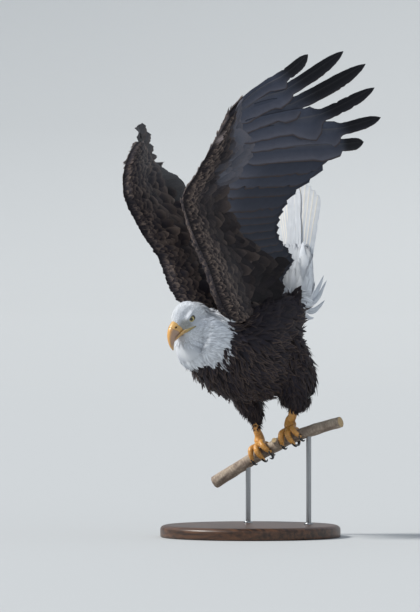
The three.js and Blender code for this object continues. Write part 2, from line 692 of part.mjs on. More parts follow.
function leg(side) {
  const shape = LEGS[side];
  const way = side === 'left' ? 1 : -1;
  const t = (shape.footAt - PERCH_LINE[0][0]) / (PERCH_LINE.at(-1)[0] - PERCH_LINE[0][0]);
  const middle = perchPath.getPoint(t);
  const tangent = perchPath.getTangent(t);
  const up = new THREE.Vector3(0, 0, 1).addScaledVector(tangent, -tangent.z).normalize();
  const ahead = new THREE.Vector3().crossVectors(tangent, up);
  const round = (degrees, slide, radius) => middle.clone()
    .addScaledVector(tangent, slide * way)
    .addScaledVector(up, Math.cos(radians(degrees)) * radius)
    .addScaledVector(ahead, Math.sin(radians(degrees)) * radius);
  const ball = round(0, 0, BALL_HEIGHT).toArray();

  const thigh = (grow) => limb(shape.thigh, [1, 0, 0], { rings: 7, sides: 12, grow });
  const shank = (grow) => limb(shape.shank, [1, 0, 0], { rings: 4, sides: 12, grow });
  const bare = mix(shape.ankle[2], ball[2], BARE_SHARE);
  const tarsus = (grow) => limb([
    { at: shape.ankle, wide: 10, high: 10.5 },
    { at: [mix(shape.ankle[0], ball[0], 0.5), mix(shape.ankle[1], ball[1], 0.45), bare + 8], wide: 9.5 },
    { at: [ball[0], mix(shape.ankle[1], ball[1], 0.85), ball[2] + 12], wide: 10.5, high: 11 },
    { at: ball, wide: 13.5, high: 13.5 },
    { at: round(0, 0, BALL_HEIGHT - 9).toArray(), wide: 9, high: 9 },
  ], [1, 0, 0], { rings: 5, sides: 8, grow });
  add(`thigh_${side}`, thigh(0).subtract(trunkClear), BROWN_COAT);
  add(`shank_${side}`, shank(0).subtract(thigh(GAP)).subtract(trunkClear), BROWN_COAT);
  add(`tarsus_${side}`, tarsus(0).subtract(shank(GAP)).subtract(branchClear), SCALED_YELLOW);

  let taken = tarsus(GAP).add(branchClear);
  for (const toe of [TOES[1], TOES[0], TOES[2], TOES[3]]) {
    const [from, to] = toe.turn;
    const grip = perchRadius(t) + TOE_RADIUS + 2 * GAP;
    const place = (share) => {
      const degrees = mix(from, to, share);
      const arch = TOE_ARCH * Math.sin(Math.PI * Math.min(share * 1.1, 1));
      return round(degrees, mix(toe.start, toe.slide, share), grip + arch * Math.min(1, share * 3));
    };
    const toeShape = (grow) => limb(TOE_SWELL.map((swell, i) => ({
      at: place(i / (TOE_SWELL.length - 1)).toArray(),
      wide: TOE_RADIUS * toe.size * swell,
    })), tangent.toArray(), { rings: 5, sides: 7, grow });
    const clawShape = (grow) => limb([0, 0.3, 0.65, 1].map((share) => ({
      at: round(
        to + Math.sign(to) * (CLAW_SWEEP * share - 6),
        toe.slide,
        grip + mix(1, -3.5, share) + 5 * Math.sin(Math.PI * share),
      ).toArray(),
      wide: CLAW_RADIUS * toe.size * (1 - 0.86 * share),
      high: CLAW_RADIUS * toe.size * (1.15 - 1 * share),
    })), tangent.toArray(), { rings: 4, sides: 6, grow });
    const toeSolid = toeShape(0).subtract(taken).subtract(clawShape(GAP));
    add(`toe_${toe.name}_${side}`, toeSolid, SCALED_YELLOW);
    add(`claw_${toe.name}_${side}`, clawShape(0).subtract(branchClear), CLAW_BLACK);
    taken = taken.add(toeShape(GAP)).add(clawShape(GAP));
  }
}

stand();
headAndNeck();
tail();
wing('left');
wing('right');
leg('left');
leg('right');
add('trunk', trunkSolid, BROWN_COAT);

export default eagle;
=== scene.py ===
"""An adult bald eagle on a perch and a plain stand: its skin, coat, bill, eyes, feet and finishes.

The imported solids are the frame. One skin stands for the solids of flesh and lies inside them by the
coat's depth. Every feather is a thin closed vane that starts at the skin and lies along the body.
Metres, +Z up. The bird faces -Y and its left side is +X.
"""

import math

import bmesh
import bpy
import numpy as np
from mathutils import Matrix, Vector
from mathutils.bvhtree import BVHTree
from mathutils.kdtree import KDTree


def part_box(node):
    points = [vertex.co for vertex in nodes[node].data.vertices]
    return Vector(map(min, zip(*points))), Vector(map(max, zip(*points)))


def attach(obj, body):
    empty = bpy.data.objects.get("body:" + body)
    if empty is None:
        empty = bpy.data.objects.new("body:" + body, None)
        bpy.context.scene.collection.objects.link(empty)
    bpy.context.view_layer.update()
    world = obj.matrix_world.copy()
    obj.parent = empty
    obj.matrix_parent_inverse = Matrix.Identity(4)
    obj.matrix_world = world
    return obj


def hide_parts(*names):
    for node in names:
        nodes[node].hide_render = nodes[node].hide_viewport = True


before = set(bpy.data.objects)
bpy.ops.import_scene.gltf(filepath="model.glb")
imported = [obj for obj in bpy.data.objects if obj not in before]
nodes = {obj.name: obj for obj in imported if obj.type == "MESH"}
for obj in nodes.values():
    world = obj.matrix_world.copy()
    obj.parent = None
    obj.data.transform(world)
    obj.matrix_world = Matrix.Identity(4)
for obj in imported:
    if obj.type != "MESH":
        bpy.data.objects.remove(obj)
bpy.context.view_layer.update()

MM = 0.001
SIDES = {"left": 1, "right": -1}
TOES = ("inner", "middle", "outer", "hind")

# ---- sizes shared with the solids, in millimetres from the middle of the branch ----

PERCH_MIDDLE = np.array([5, 98, 214]) * MM
PERCH_LINE = [
    [-172, -30, -90], [-92, -14, -44], [-46, -5, -18], [0, 0, 4], [48, 6, 24], [95, 13, 39],
    [172, 25, 60],
]
PERCH_RADIUS = 14
HEAD_PLACE = [-15, -327, 306]
HEAD_YAW = math.radians(-10)
HEAD_PITCH = math.radians(46)
EYE_RADIUS = 11.5
EYE_OFFSET = 18.5

WINGS = {
    "left": {
        "way": 1,
        "lead": [
            [58, -238, 292], [70, -304, 360], [68, -338, 427], [60, -386, 511], [58, -413, 590],
            [76, -391, 640], [95, -372, 687], [113, -356, 731], [130, -338, 775],
        ],
        "end": [
            [22, -8, 352], [12, 8, 402], [14, 44, 446], [33, -35, 510], [112, -93, 588],
            [178, -50, 658], [204, -18, 735], [153, -138, 808], [118, -150, 892],
        ],
        "fingers": [
            [215, 58, 728], [225, 111, 787], [210, 106, 858], [185, 103, 915], [150, 62, 945],
            [105, -18, 936],
        ],
    },
    "right": {
        "way": -1,
        "lead": [
            [-58, -240, 300], [-85, -293, 378], [-108, -305, 445], [-132, -350, 520],
            [-152, -382, 600], [-170, -362, 655], [-190, -325, 690], [-212, -285, 711],
            [-236, -240, 728],
        ],
        "end": [
            [-50, -4, 350], [-84, 40, 398], [-126, 66, 442], [-196, -10, 528], [-250, -64, 642],
            [-335, -15, 664], [-388, -14, 693], [-367, -70, 728], [-376, -78, 768],
        ],
        "fingers": [
            [-429, 66, 690], [-477, 101, 712], [-505, 124, 736], [-514, 124, 766], [-506, 95, 787],
            [-477, 41, 766],
        ],
    },
}
WRIST, HAND_TIP = 4, 8
ARM_SHARE = [0.5, 0.46, 0.42, 0.37, 0.32, 0.27, 0.27, 0.27, 0.26]
ARM_THICK = [50, 44, 38, 32, 28, 22, 18, 15, 10]
ARM_ROWS = [0, 0.07, 0.25, 0.6, 1]
CAMBER = 0.07
SHEET_THICK, BLADE_THICK = 3.2, 2.2
INNER_FEATHERS, PRIMARIES, FIRST_FINGER = 17, 10, 5

TAIL_ROOT = [0, 64, 346]
TAIL_ROOT_HALF = 12
TAIL_SPREAD = math.radians(12.8)
TAIL_LENGTH = 294
TAIL_ROUND, TAIL_CUP = 38, 9
TAIL_FEATHERS = 12

# ---- sizes of the coat, in millimetres ----

COAT_DEPTH = {
    "head": 2.2, "neck": 8, "trunk": 7, "tail_base": 4, "thigh": 6, "shank": 3.5, "upper_arm": 1.6,
    "forearm": 1.4, "hand": 1.2, "tarsus": 0.3, "toe": 0.3,
}
SKIN_VOXEL = 2.1
SKIN_TRIANGLES = 170_000
CLOSE_GAP = 0.5  # swelling that closes the gaps between solids
TUFT_PATCH = 0.003  # side of a tuft's patch on the skin's unwrap


# ---- small mathematics ----

def unit(v):
    return v / np.maximum(np.linalg.norm(v, axis=-1, keepdims=True), 1e-9)


def mix(a, b, t):
    return a + (b - a) * t


def ease(t):
    t = np.clip(t, 0, 1)
    return t * t * (3 - 2 * t)


def linear(code):
    """A colour written as sRGB hex, as linear red, green and blue."""
    parts = [int(code[i:i + 2], 16) / 255 for i in (1, 3, 5)]
    return np.array([c / 12.92 if c <= 0.04045 else ((c + 0.055) / 1.055) ** 2.4 for c in parts])


def through(table, s):
    """The smooth curve through a table's entries, which stand at 0, 1, 2 and so on."""
    table = np.asarray(table, float)
    plain = table.ndim == 1
    if plain:
        table = np.column_stack([np.arange(len(table)), table])
    s = np.clip(np.asarray(s, float), 0, len(table) - 1)
    i = np.minimum(s.astype(int), len(table) - 2)
    w = (s - i)[..., None]
    knots = np.vstack([2 * table[0] - table[1], table, 2 * table[-1] - table[-2]])
    p0, p1, p2, p3 = (knots[i + k] for k in range(4))
    d0, d1, d2 = (
        np.sqrt(np.linalg.norm(b - a, axis=-1, keepdims=True)) for a, b in ((p0, p1), (p1, p2), (p2, p3))
    )
    t1 = ((p1 - p0) / d0 - (p2 - p0) / (d0 + d1) + (p2 - p1) / d1) * d1
    t2 = ((p2 - p1) / d1 - (p3 - p1) / (d1 + d2) + (p3 - p2) / d2) * d1
    place = p1 + w * (t1 + w * (3 * (p2 - p1) - 2 * t1 - t2 + w * (2 * (p1 - p2) + t1 + t2)))
    return place[..., 1] if plain else place


def from_perch(mm):
    return PERCH_MIDDLE + np.asarray(mm, float) * MM


def wander(points, reach, seed):
    """Smooth noise from about -1 to 1, whose bumps are about reach apart."""
    draw = np.random.default_rng(seed)
    total = 0
    for _ in range(5):
        way = unit(draw.normal(size=3)) * 2 * math.pi / (reach * draw.uniform(1.4, 2.6))
        total = total + np.sin(points @ way + draw.uniform(0, 2 * math.pi))
    return total / 2.6


head_turn = (
    Matrix.Translation(Vector(from_perch(HEAD_PLACE)))
    @ Matrix.Rotation(HEAD_YAW, 4, "Z") @ Matrix.Rotation(HEAD_PITCH, 4, "X")
)
HEAD_AXES = np.array(head_turn.to_3x3())


def from_head(mm):
    """Places in the head's own frame (left, back, up from between the eyes) in the row frame."""
    return np.array(head_turn.translation) + np.asarray(mm, float) * MM @ HEAD_AXES.T


def to_head(points):
    return (points - np.array(head_turn.translation)) @ HEAD_AXES / MM


# ---- camera, stage and lights ----

VIEW_AZIMUTH = math.radians(40)
VIEW_HEIGHT = 1.469  # metres that the picture's height takes in
VIEW_MIDDLE = (-163.2, 336)  # across and up from the middle of the branch
CAMERA_DISTANCE = 12
SENSOR = 36
SKY = (0.84, 0.91, 1)
SKY_STRENGTH = 0.56
LAMPS = {  # direction, spread in degrees, strength and colour
    "key": ((-2.6, -3.0, 3.3), 14, 4.0, (1, 0.975, 0.93)),
    "fill": ((3.4, -2.0, 1.0), 40, 0.25, (0.9, 0.95, 1)),
}


def placed(name, data):
    """A new object in the scene, with a mesh, a lamp or a camera as its data."""
    piece = bpy.data.objects.new(name, data)
    bpy.context.scene.collection.objects.link(piece)
    return piece


def make_camera():
    back = Vector((math.sin(VIEW_AZIMUTH), -math.cos(VIEW_AZIMUTH), 0))
    across = Vector((math.cos(VIEW_AZIMUTH), math.sin(VIEW_AZIMUTH), 0))
    middle = Vector(PERCH_MIDDLE) + across * VIEW_MIDDLE[0] * MM + Vector((0, 0, VIEW_MIDDLE[1] * MM))
    data = bpy.data.cameras.new("camera")
    data.sensor_width = SENSOR
    data.lens = SENSOR * CAMERA_DISTANCE / VIEW_HEIGHT
    data.clip_end = 200
    camera = placed("camera", data)
    camera.location = middle + back * CAMERA_DISTANCE
    camera.rotation_euler = back.to_track_quat("Z", "Y").to_euler()
    bpy.context.scene.camera = camera


def soft_light(name, direction, spread, strength, colour):
    """A broad light so far off that it falls evenly on the whole studio."""
    data = bpy.data.lights.new(name, "SUN")
    data.angle = math.radians(spread)
    data.energy = strength
    data.color = colour
    placed(name, data).rotation_euler = Vector(direction).to_track_quat("Z", "Y").to_euler()


def make_lights():
    world = bpy.data.worlds.new("studio")
    bpy.context.scene.world = world
    world.use_nodes = True
    background = world.node_tree.nodes["Background"]
    background.inputs["Color"].default_value = (*SKY, 1)
    background.inputs["Strength"].default_value = SKY_STRENGTH
    bpy.context.scene.view_settings.view_transform = "Standard"
    for name, settings in LAMPS.items():
        soft_light(name, *settings)


# ---- materials ----

def node(tree, kind, settings=None, inputs=None):
    """Adds a node with its own settings, and gives its inputs a value or another node's output."""
    made = tree.nodes.new("ShaderNode" + kind)
    for key, value in (settings or {}).items():
        setattr(made, key, value)
    for key, value in (inputs or {}).items():
        if isinstance(value, bpy.types.NodeSocket):
            tree.links.new(value, made.inputs[key])
        else:
            made.inputs[key].default_value = value
    return made


def new_material(name, **sockets):
    """A material with its shader's constant values set on the shader's own sockets."""
    made = bpy.data.materials.new(name)
    made.use_nodes = True
    shader = made.node_tree.nodes["Principled BSDF"]
    for key, value in sockets.items():
        shader.inputs[key.replace("_", " ")].default_value = value
    return made, made.node_tree, shader


def paint(tree, shader, colour, relief=None, strength=0.3, depth_mm=1.0):
    """Gives the shader its colour and, where there is one, a relief of a depth in millimetres."""
    tree.links.new(colour, shader.inputs["Base Color"])
    if relief is not None:
        lift = node(tree, "Bump", None, {
            "Height": relief, "Strength": strength, "Distance": depth_mm * MM,
        })
        tree.links.new(lift.outputs["Normal"], shader.inputs["Normal"])


def grown_material(name, along, grain_mm, detail, levels, relief, span=(0, 1), stretch=None,
                   rough=0.5, **sockets):
    """Horn, bark or down in the piece's own tint, varied by grains of a size in millimetres.

    The grains follow the piece where along is true, and lie in space where it isn't. Levels are the
    factors on the tint at the two ends of the grain's span; relief is its strength and depth.
    """
    made, tree, shader = new_material(name, **sockets)
    colour = node(tree, "Attribute", {"attribute_name": "tint"}).outputs["Color"]
    if along:
        where = node(tree, "Attribute", {"attribute_name": "vane"}).outputs["Vector"]
    else:
        where = node(tree, "TexCoord").outputs["Object"]
    if stretch:
        where = node(tree, "Mapping", None, {"Vector": where, "Scale": stretch}).outputs[0]
    grain = node(tree, "TexNoise", None, {
        "Vector": where, "Scale": 1 / (grain_mm * MM), "Detail": detail, "Roughness": rough,
    })
    if levels:
        level = node(tree, "MapRange", None, {
            "Value": grain.outputs["Fac"], "From Min": span[0], "From Max": span[1],
            "To Min": levels[0], "To Max": levels[1],
        })
        shade = node(tree, "VectorMath", {"operation": "SCALE"}, {0: colour, "Scale": level.outputs[0]})
        colour = shade.outputs[0]
    if relief:
        paint(tree, shader, colour, grain.outputs["Fac"], *relief)
    else:
        paint(tree, shader, colour)
    return made


BARB_SLANT = -0.75
FRAY_MM, MOTTLE_MM = 50 / 11, 50 / 3  # sizes of the barbs' waves and of the vane's mottling


def feather_material(name, barb_mm, contrast, bump, **sockets):
    """Keratin vanes grown as barbs on a shaft: fine slanted lines that catch the light as silk does.

    Barbs are 0.3 to 0.5 mm apart in life; they are drawn coarser here so that they still show.
    """
    made, tree, shader = new_material(name, **sockets)
    tint = node(tree, "Attribute", {"attribute_name": "tint"})
    vane = node(tree, "Attribute", {"attribute_name": "vane"})
    place = node(tree, "SeparateXYZ", None, {0: vane.outputs["Vector"]})
    out = node(tree, "Math", {"operation": "ABSOLUTE"}, {0: place.outputs["X"]})
    slant = node(tree, "Math", {"operation": "MULTIPLY_ADD"}, {
        0: out.outputs[0], 1: BARB_SLANT, 2: place.outputs["Y"],
    })
    fray = node(tree, "TexNoise", None, {
        "Vector": vane.outputs["Vector"], "Scale": 1 / (FRAY_MM * MM), "Detail": 2,
    })
    bent = node(tree, "Math", {"operation": "MULTIPLY_ADD"}, {
        0: fray.outputs["Fac"], 1: barb_mm * MM, 2: slant.outputs[0],
    })
    phase = node(tree, "Math", {"operation": "MULTIPLY"}, {
        0: bent.outputs[0], 1: 2 * math.pi / (barb_mm * MM),
    })
    wave = node(tree, "Math", {"operation": "SINE"}, {0: phase.outputs[0]})
    mottle = node(tree, "TexNoise", None, {
        "Vector": vane.outputs["Vector"], "Scale": 1 / (MOTTLE_MM * MM), "Detail": 3,
    })
    level = node(tree, "MapRange", None, {
        "Value": mottle.outputs["Fac"], "To Min": 1 - contrast, "To Max": 1 + contrast,
    })
    lines = node(tree, "MapRange", None, {
        "Value": wave.outputs[0], "From Min": -1, "From Max": 1,
        "To Min": 1 - contrast, "To Max": 1 + contrast * 0.5,
    })
    both = node(tree, "Math", {"operation": "MULTIPLY"}, {0: level.outputs[0], 1: lines.outputs[0]})
    shade = node(tree, "VectorMath", {"operation": "SCALE"}, {
        0: tint.outputs["Color"], "Scale": both.outputs[0],
    })
    paint(tree, shader, shade.outputs[0], wave.outputs[0], bump, barb_mm / 4)
    return made


def make_materials():
    """Every finish of the model by its own name."""
    finish = {}
    # brown body feathers: loose barbs over down, which take most of the gloss off the keratin
    finish["contour_feather"] = feather_material(
        "contour_feather", 1.3, 0.22, 0.35, Roughness=0.62, IOR=1.55, Specular_IOR_Level=0.14,
    )
    # unpigmented feathers: light goes through the barbs; their soft cool grey is painted shade, put in
    # their tint
    finish["white_feather"] = feather_material(
        "white_feather", 1.2, 0.05, 0.3, Roughness=0.6, IOR=1.5, Specular_IOR_Level=0.25,
    )
    # flight feathers: barbs hooked into a stiff sheet, with a satin gloss along them
    finish["flight_feather"] = feather_material(
        "flight_feather", 1.6, 0.1, 0.3, Roughness=0.55, IOR=1.55, Specular_IOR_Level=0.12,
    )

    # down and skin under the coat, dull, in tufts 2 mm across; its tint is the coat's, darkened as painted
    # shade between the feathers
    finish["down_on_skin"] = grown_material(
        "down_on_skin", False, 2, 4, None, (0.6, 1), Roughness=0.9, IOR=1.45,
    )
    # horny plates on the front of toes and shank: thicker keratin than the skin, rubbed smooth, with
    # dust in hollows a plate's width across
    finish["scute_horn"] = grown_material(
        "scute_horn", False, 6.25, 5, (1.05, 0.7), (0.2, 0.6), span=(0.3, 0.75), Roughness=0.36,
        IOR=1.52, Subsurface_Weight=0.1, Subsurface_Scale=0.0015, Subsurface_Radius=(1, 0.4, 0.15),
    )
    # bill sheath and cere: grown horn, worn smooth, with faint growth bands and a waxy depth
    finish["bill_horn"] = grown_material(
        "bill_horn", True, 25 / 3, 5, (0.86, 1.1), (0.12, 0.8), span=(0.3, 0.7), Roughness=0.32,
        IOR=1.54, Subsurface_Weight=0.15, Subsurface_Scale=0.003, Subsurface_Radius=(1, 0.5, 0.2),
        Coat_Weight=0.15, Coat_Roughness=0.25,
    )
    # talon keratin: black, dense and polished by use; its scratches are finer in life, and are drawn
    # 2.5 mm apart so that they still break the shine
    finish["talon_horn"] = grown_material(
        "talon_horn", True, 2.5, 3, None, (0.15, 0.4), Roughness=0.24, IOR=1.56,
    )
    # the wet front of the eye: iris, pupil and dark rim seen through a clear cornea; the iris's
    # threads are finer in life than the 1.1 mm drawn here
    finish["wet_eye"] = grown_material(
        "wet_eye", True, 10 / 9, 2, (0.75, 1.2), None, Roughness=0.12, IOR=1.38, Coat_Weight=1,
        Coat_Roughness=0.02, Coat_IOR=1.4,
    )
    # cottonwood bark, weathered on the tree: dry, pale, ridged lengthwise every 3.5 mm
    finish["weathered_bark"] = grown_material(
        "weathered_bark", True, 3.5, 6, (0.55, 1.25), (0.8, 1.2), span=(0.3, 0.7),
        stretch=(1, 0.3, 1), rough=0.65, Roughness=0.88, IOR=1.45,
    )

    # scales on living skin: waxy yellow, darker in the creases between 1.9 mm cells, and darker in dusty
    # patches
    made, tree, shader = new_material(
        "scaled_skin", Roughness=0.42, IOR=1.45, Subsurface_Weight=0.12, Subsurface_Scale=0.002,
        Subsurface_Radius=(1, 0.4, 0.15),
    )
    tint = node(tree, "Attribute", {"attribute_name": "tint"})
    where = node(tree, "TexCoord").outputs["Object"]
    cells = node(tree, "TexVoronoi", {"feature": "DISTANCE_TO_EDGE"}, {
        "Vector": where, "Scale": 1 / (1.9 * MM),
    })
    crease = node(tree, "MapRange", None, {
        "Value": cells.outputs["Distance"], "From Min": 0.0, "From Max": 0.16,
    })
    dust = node(tree, "TexNoise", None, {"Vector": where, "Scale": 9 / (100 * MM), "Detail": 4})
    worn = node(tree, "MapRange", None, {
        "Value": dust.outputs["Fac"], "From Min": 0.3, "From Max": 0.75, "To Min": 1.05, "To Max": 0.72,
    })
    depth = node(tree, "MapRange", None, {"Value": crease.outputs[0], "To Min": 0.55, "To Max": 1})
    both = node(tree, "Math", {"operation": "MULTIPLY"}, {0: worn.outputs[0], 1: depth.outputs[0]})
    shade = node(tree, "VectorMath", {"operation": "SCALE"}, {
        0: tint.outputs["Color"], "Scale": both.outputs[0],
    })
    paint(tree, shader, shade.outputs[0], crease.outputs[0], 0.5, 0.6)
    finish["scaled_skin"] = made

    # turned walnut, oiled: grain runs across the disc in 9 mm streaks with fine dark pores
    made, tree, shader = new_material("oiled_walnut", Roughness=0.38, IOR=1.5)
    where = node(tree, "TexCoord").outputs["Object"]
    stretch = node(tree, "Mapping", None, {"Vector": where, "Scale": (0.06, 1, 1)})
    grain = node(tree, "TexNoise", None, {
        "Vector": stretch.outputs[0], "Scale": 1 / (9 * MM), "Detail": 6, "Distortion": 0.6,
    })
    pores = node(tree, "TexNoise", None, {"Vector": stretch.outputs[0], "Scale": 1 / (1.2 * MM)})
    ramp = node(tree, "ValToRGB", None, {"Fac": grain.outputs["Fac"]})
    ramp.color_ramp.elements[0].color = (*linear("#20130c"), 1)
    ramp.color_ramp.elements[0].position = 0.32
    ramp.color_ramp.elements[1].color = (*linear("#5a3b26"), 1)
    ramp.color_ramp.elements[1].position = 0.7
    paint(tree, shader, ramp.outputs["Color"], pores.outputs["Fac"], 0.15, 0.4)
    finish["oiled_walnut"] = made

    # drawn steel rod, satin: lines along the draw, a soft streaked shine; they are finer in life than
    # the 0.5 mm drawn here
    made, tree, shader = new_material("satin_steel", Metallic=1, Roughness=0.3)
    where = node(tree, "TexCoord").outputs["Object"]
    stretch = node(tree, "Mapping", None, {"Vector": where, "Scale": (1, 1, 0.02)})
    draw = node(tree, "TexNoise", None, {"Vector": stretch.outputs[0], "Scale": 1 / (0.5 * MM)})
    tone = node(tree, "ValToRGB", None, {"Fac": draw.outputs["Fac"]})
    tone.color_ramp.elements[0].color = (*linear("#7d7f82"), 1)
    tone.color_ramp.elements[1].color = (*linear("#a9abad"), 1)
    rough = node(tree, "MapRange", None, {"Value": draw.outputs["Fac"], "To Min": 0.22, "To Max": 0.38})
    tree.links.new(rough.outputs[0], shader.inputs["Roughness"])
    paint(tree, shader, tone.outputs["Color"], draw.outputs["Fac"], 0.1, 0.2)
    finish["satin_steel"] = made
    return finish


# ---- meshes from arrays ----

def set_tint(mesh, tint):
    """Each point's colour, which the finishes read."""
    tint = np.column_stack([np.clip(tint, 0, 1), np.ones(len(tint))])
    mesh.attributes.new("tint", "FLOAT_COLOR", "POINT").data.foreach_set("color", tint.ravel())


def build(name, parts, finish, stands_for=(), sharp=40):
    """One object from parts. Each part has points, faces (arrays of quads or triangles) with their
    places on the bake map, and a tint and vane coordinates for every point."""
    start, loops, sizes, maps = 0, [], [], []
    for part in parts:
        for face, uv in part["faces"]:
            loops.append((face + start).ravel())
            sizes.append(np.full(len(face), face.shape[1]))
            maps.append(uv.reshape(-1, 2))
        start += len(part["points"])
    mesh = bpy.data.meshes.new(name)
    mesh.vertices.add(start)
    mesh.vertices.foreach_set("co", np.concatenate([p["points"] for p in parts]).ravel())
    corners = np.concatenate(loops)
    count = np.concatenate(sizes)
    mesh.loops.add(len(corners))
    mesh.loops.foreach_set("vertex_index", corners)
    mesh.polygons.add(len(count))
    mesh.polygons.foreach_set("loop_start", np.concatenate([[0], np.cumsum(count)[:-1]]))
    mesh.update(calc_edges=True)
    mesh.shade_smooth()
    mesh.set_sharp_from_angle(angle=math.radians(sharp))
    uv_map = mesh.uv_layers.new(name="OFBake")
    uv_map.data.foreach_set("uv", np.concatenate(maps).ravel())
    set_tint(mesh, np.concatenate([p["tint"] for p in parts]))
    vane = np.concatenate([p["vane"] for p in parts])
    mesh.attributes.new("vane", "FLOAT_VECTOR", "POINT").data.foreach_set("vector", vane.ravel())
    mesh.materials.append(FINISH[finish])
    piece = placed(name, mesh)
    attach(piece, "root")
    if stands_for:
        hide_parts(*stands_for)


def grid_quads(rows, sides, closed=False):
    """Quads of a grid that joins up at its sides, and its ends too where closed is true. Also each
    corner's share of the way round, less a half, and its row."""
    steps = np.arange(rows if closed else rows - 1)
    r, k = (a.ravel() for a in np.meshgrid(steps, np.arange(sides), indexing="ij"))
    below, after = (r + 1) % rows, (k + 1) % sides
    quads = np.stack([r * sides + k, below * sides + k, below * sides + after, r * sides + after], -1)
    return quads, np.stack([k, k, k + 1, k + 1], -1) / sides - 0.5, np.stack([r, r + 1, r + 1, r], -1)


VANE_APART = 0.137  # keeps one vane's pattern from its neighbour's


def vane_part(grid, normal, thick, tint, under, home, flip=False, patch=TUFT_PATCH):
    """Closed vanes about grids of middle places: (vanes, rows from root to tip, columns across).

    Thick is 0 in the outer columns, where top and underside meet. Home is each vane's place on the
    bake map, and patch the size of its own square there.
    """
    count, rows, columns = grid.shape[:3]
    ring = 2 * columns - 2
    inner = slice(columns - 2, 0, -1)
    half = normal * thick[..., None] / 2
    points = np.concatenate([grid + half, (grid - half)[:, :, inner]], axis=2)
    tints = np.concatenate([tint, under[:, :, inner]], axis=2)
    middle = grid[:, :, columns // 2]
    steps = np.linalg.norm(np.diff(middle, axis=1), axis=-1)
    along = np.concatenate([np.zeros((count, 1)), np.cumsum(steps, axis=1)], axis=1)
    sign = np.sign(np.arange(columns) - columns // 2)
    across = np.linalg.norm(grid - middle[:, :, None], axis=-1) * sign
    number = np.arange(count)[:, None, None] * VANE_APART
    vane = np.stack(np.broadcast_arrays(across, along[..., None], number), axis=-1)
    vanes = np.concatenate([vane, vane[:, :, inner]], axis=2)

    quads, u, row = (values[:, [0, 3, 2, 1]] for values in grid_quads(rows, ring))
    quad_uv = np.stack([u, row / (rows - 1) - 0.5], -1)
    tip = (rows - 1) * ring
    ends = np.array([[0, 1, ring - 1], [columns - 2, columns - 1, columns]])
    strips = np.array([[i, i + 1, ring - i - 1, ring - i] for i in range(1, columns - 2)])
    caps = [(ends[:, ::-1], -0.5), (ends + tip, 0.5)]
    if len(strips):
        caps += [(strips[:, ::-1], -0.5), (strips + tip, 0.5)]

    shift = (np.arange(count) * rows * ring)[:, None, None]
    faces = []
    patch = np.broadcast_to(patch, 2)
    for face, uv in [(quads, quad_uv)] + [
        (cap, np.stack([(cap % ring) / ring - 0.5, np.full(cap.shape, level)], -1))
        for cap, level in caps
    ]:
        spread = (home[:, None, None] + uv[None] * patch).reshape(-1, face.shape[1], 2)
        corner = (face[None] + shift).reshape(-1, face.shape[1])
        if flip:
            corner, spread = corner[:, ::-1], spread[:, ::-1]
        faces.append((corner, spread))
    return {
        "points": points.reshape(-1, 3), "tint": tints.reshape(-1, 3), "vane": vanes.reshape(-1, 3),
        "faces": faces,
    }


HUB_PATCH = 0.015


def tube_part(rings, tint, vane, home=(0.5, 0.5), patch=(0.98, 0.98)):
    """A closed body from rings of places (rings, sides), each end closed by a fan."""
    rows, sides = rings.shape[:2]
    quads, u, row = grid_quads(rows, sides)
    faces = [(quads, np.array(home) + np.stack([u, row / (rows - 1) * 0.9 - 0.45], -1) * patch)]
    points = np.vstack([rings.reshape(-1, 3), rings[[0, -1]].mean(axis=1)])
    tints = np.vstack([tint.reshape(-1, 3), tint[0, :1], tint[-1, :1]])
    vanes = np.vstack([vane.reshape(-1, 3), vane[[0, -1]].mean(axis=1)])
    ring = np.arange(sides)
    turn = ring / sides * 2 * math.pi
    for end, (level, first) in enumerate([(-0.48, 0), (0.48, (rows - 1) * sides)]):
        hub = np.full(sides, rows * sides + end)
        a, b = first + ring, first + (ring + 1) % sides
        fan = np.stack([hub, a, b] if end == 0 else [hub, b, a], -1)
        spot = np.stack([np.cos(turn), np.sin(turn)], -1) * HUB_PATCH
        place = np.array([end * 0.1 - 0.05, level])
        near = place + np.stack([np.zeros((sides, 2)), spot, np.roll(spot, -1, 0)], 1)
        faces.append((fan, np.array(home) + near * patch))
    return {"points": points, "tint": tints, "vane": vanes, "faces": faces}


# ---- shapes of the feet, used by the skin and by their scales and claws ----

FOOT_AT = {"left": 54, "right": -48}
BALL_HEIGHT = 29
TOE_RADIUS, TOE_ARCH, TOE_GAP = 7.6, 6, 0.6
TOE_TURN = {"inner": (22, 118), "middle": (24, 134), "outer": (22, 112), "hind": (-22, -112)}
TOE_SLIDE = {"inner": (-9, -26), "middle": (1, 2), "outer": (10, 28), "hind": (0, -4)}
TOE_SIZE = {"inner": 1.04, "middle": 1, "outer": 0.94, "hind": 1.06}
TOE_SWELL = [1, 0.92, 0.98, 0.86, 0.7]
CLAW_RADIUS, CLAW_SWEEP = 4.6, 62
ANKLE = {"left": [50, 0, 98], "right": [-52, -24, 74]}
SHANK_SIZE = {"left": 1.14, "right": 1.0}
SHANK_RADIUS = [10.2, 9.5, 10.8, 13.5, 9]
BUDS = [(0.5, 1.6, 0.05), (0.85, 1.2, 0.03)]


def perch_share(across):
    """The share of the branch's length at a place across it, in millimetres."""
    return (across - PERCH_LINE[0][0]) / (PERCH_LINE[-1][0] - PERCH_LINE[0][0])


def perch_radius(t):
    radius = PERCH_RADIUS * mix(1.08, 0.92, t)
    return radius + sum(swell * np.exp(-(((t - at) / reach) ** 2)) for at, swell, reach in BUDS)


def perch_axes(t):
    """The branch's middle at t, its way on, and the two directions square to it (up and ahead)."""
    t = np.asarray(t, float)
    last = len(PERCH_LINE) - 1
    middle = through(PERCH_LINE, t * last)
    tangent = unit(through(PERCH_LINE, (t + 0.001) * last) - through(PERCH_LINE, (t - 0.001) * last))
    up = unit(np.array([0, 0, 1.0]) - tangent * tangent[..., 2:])
    return middle, tangent, up, np.cross(tangent, up)


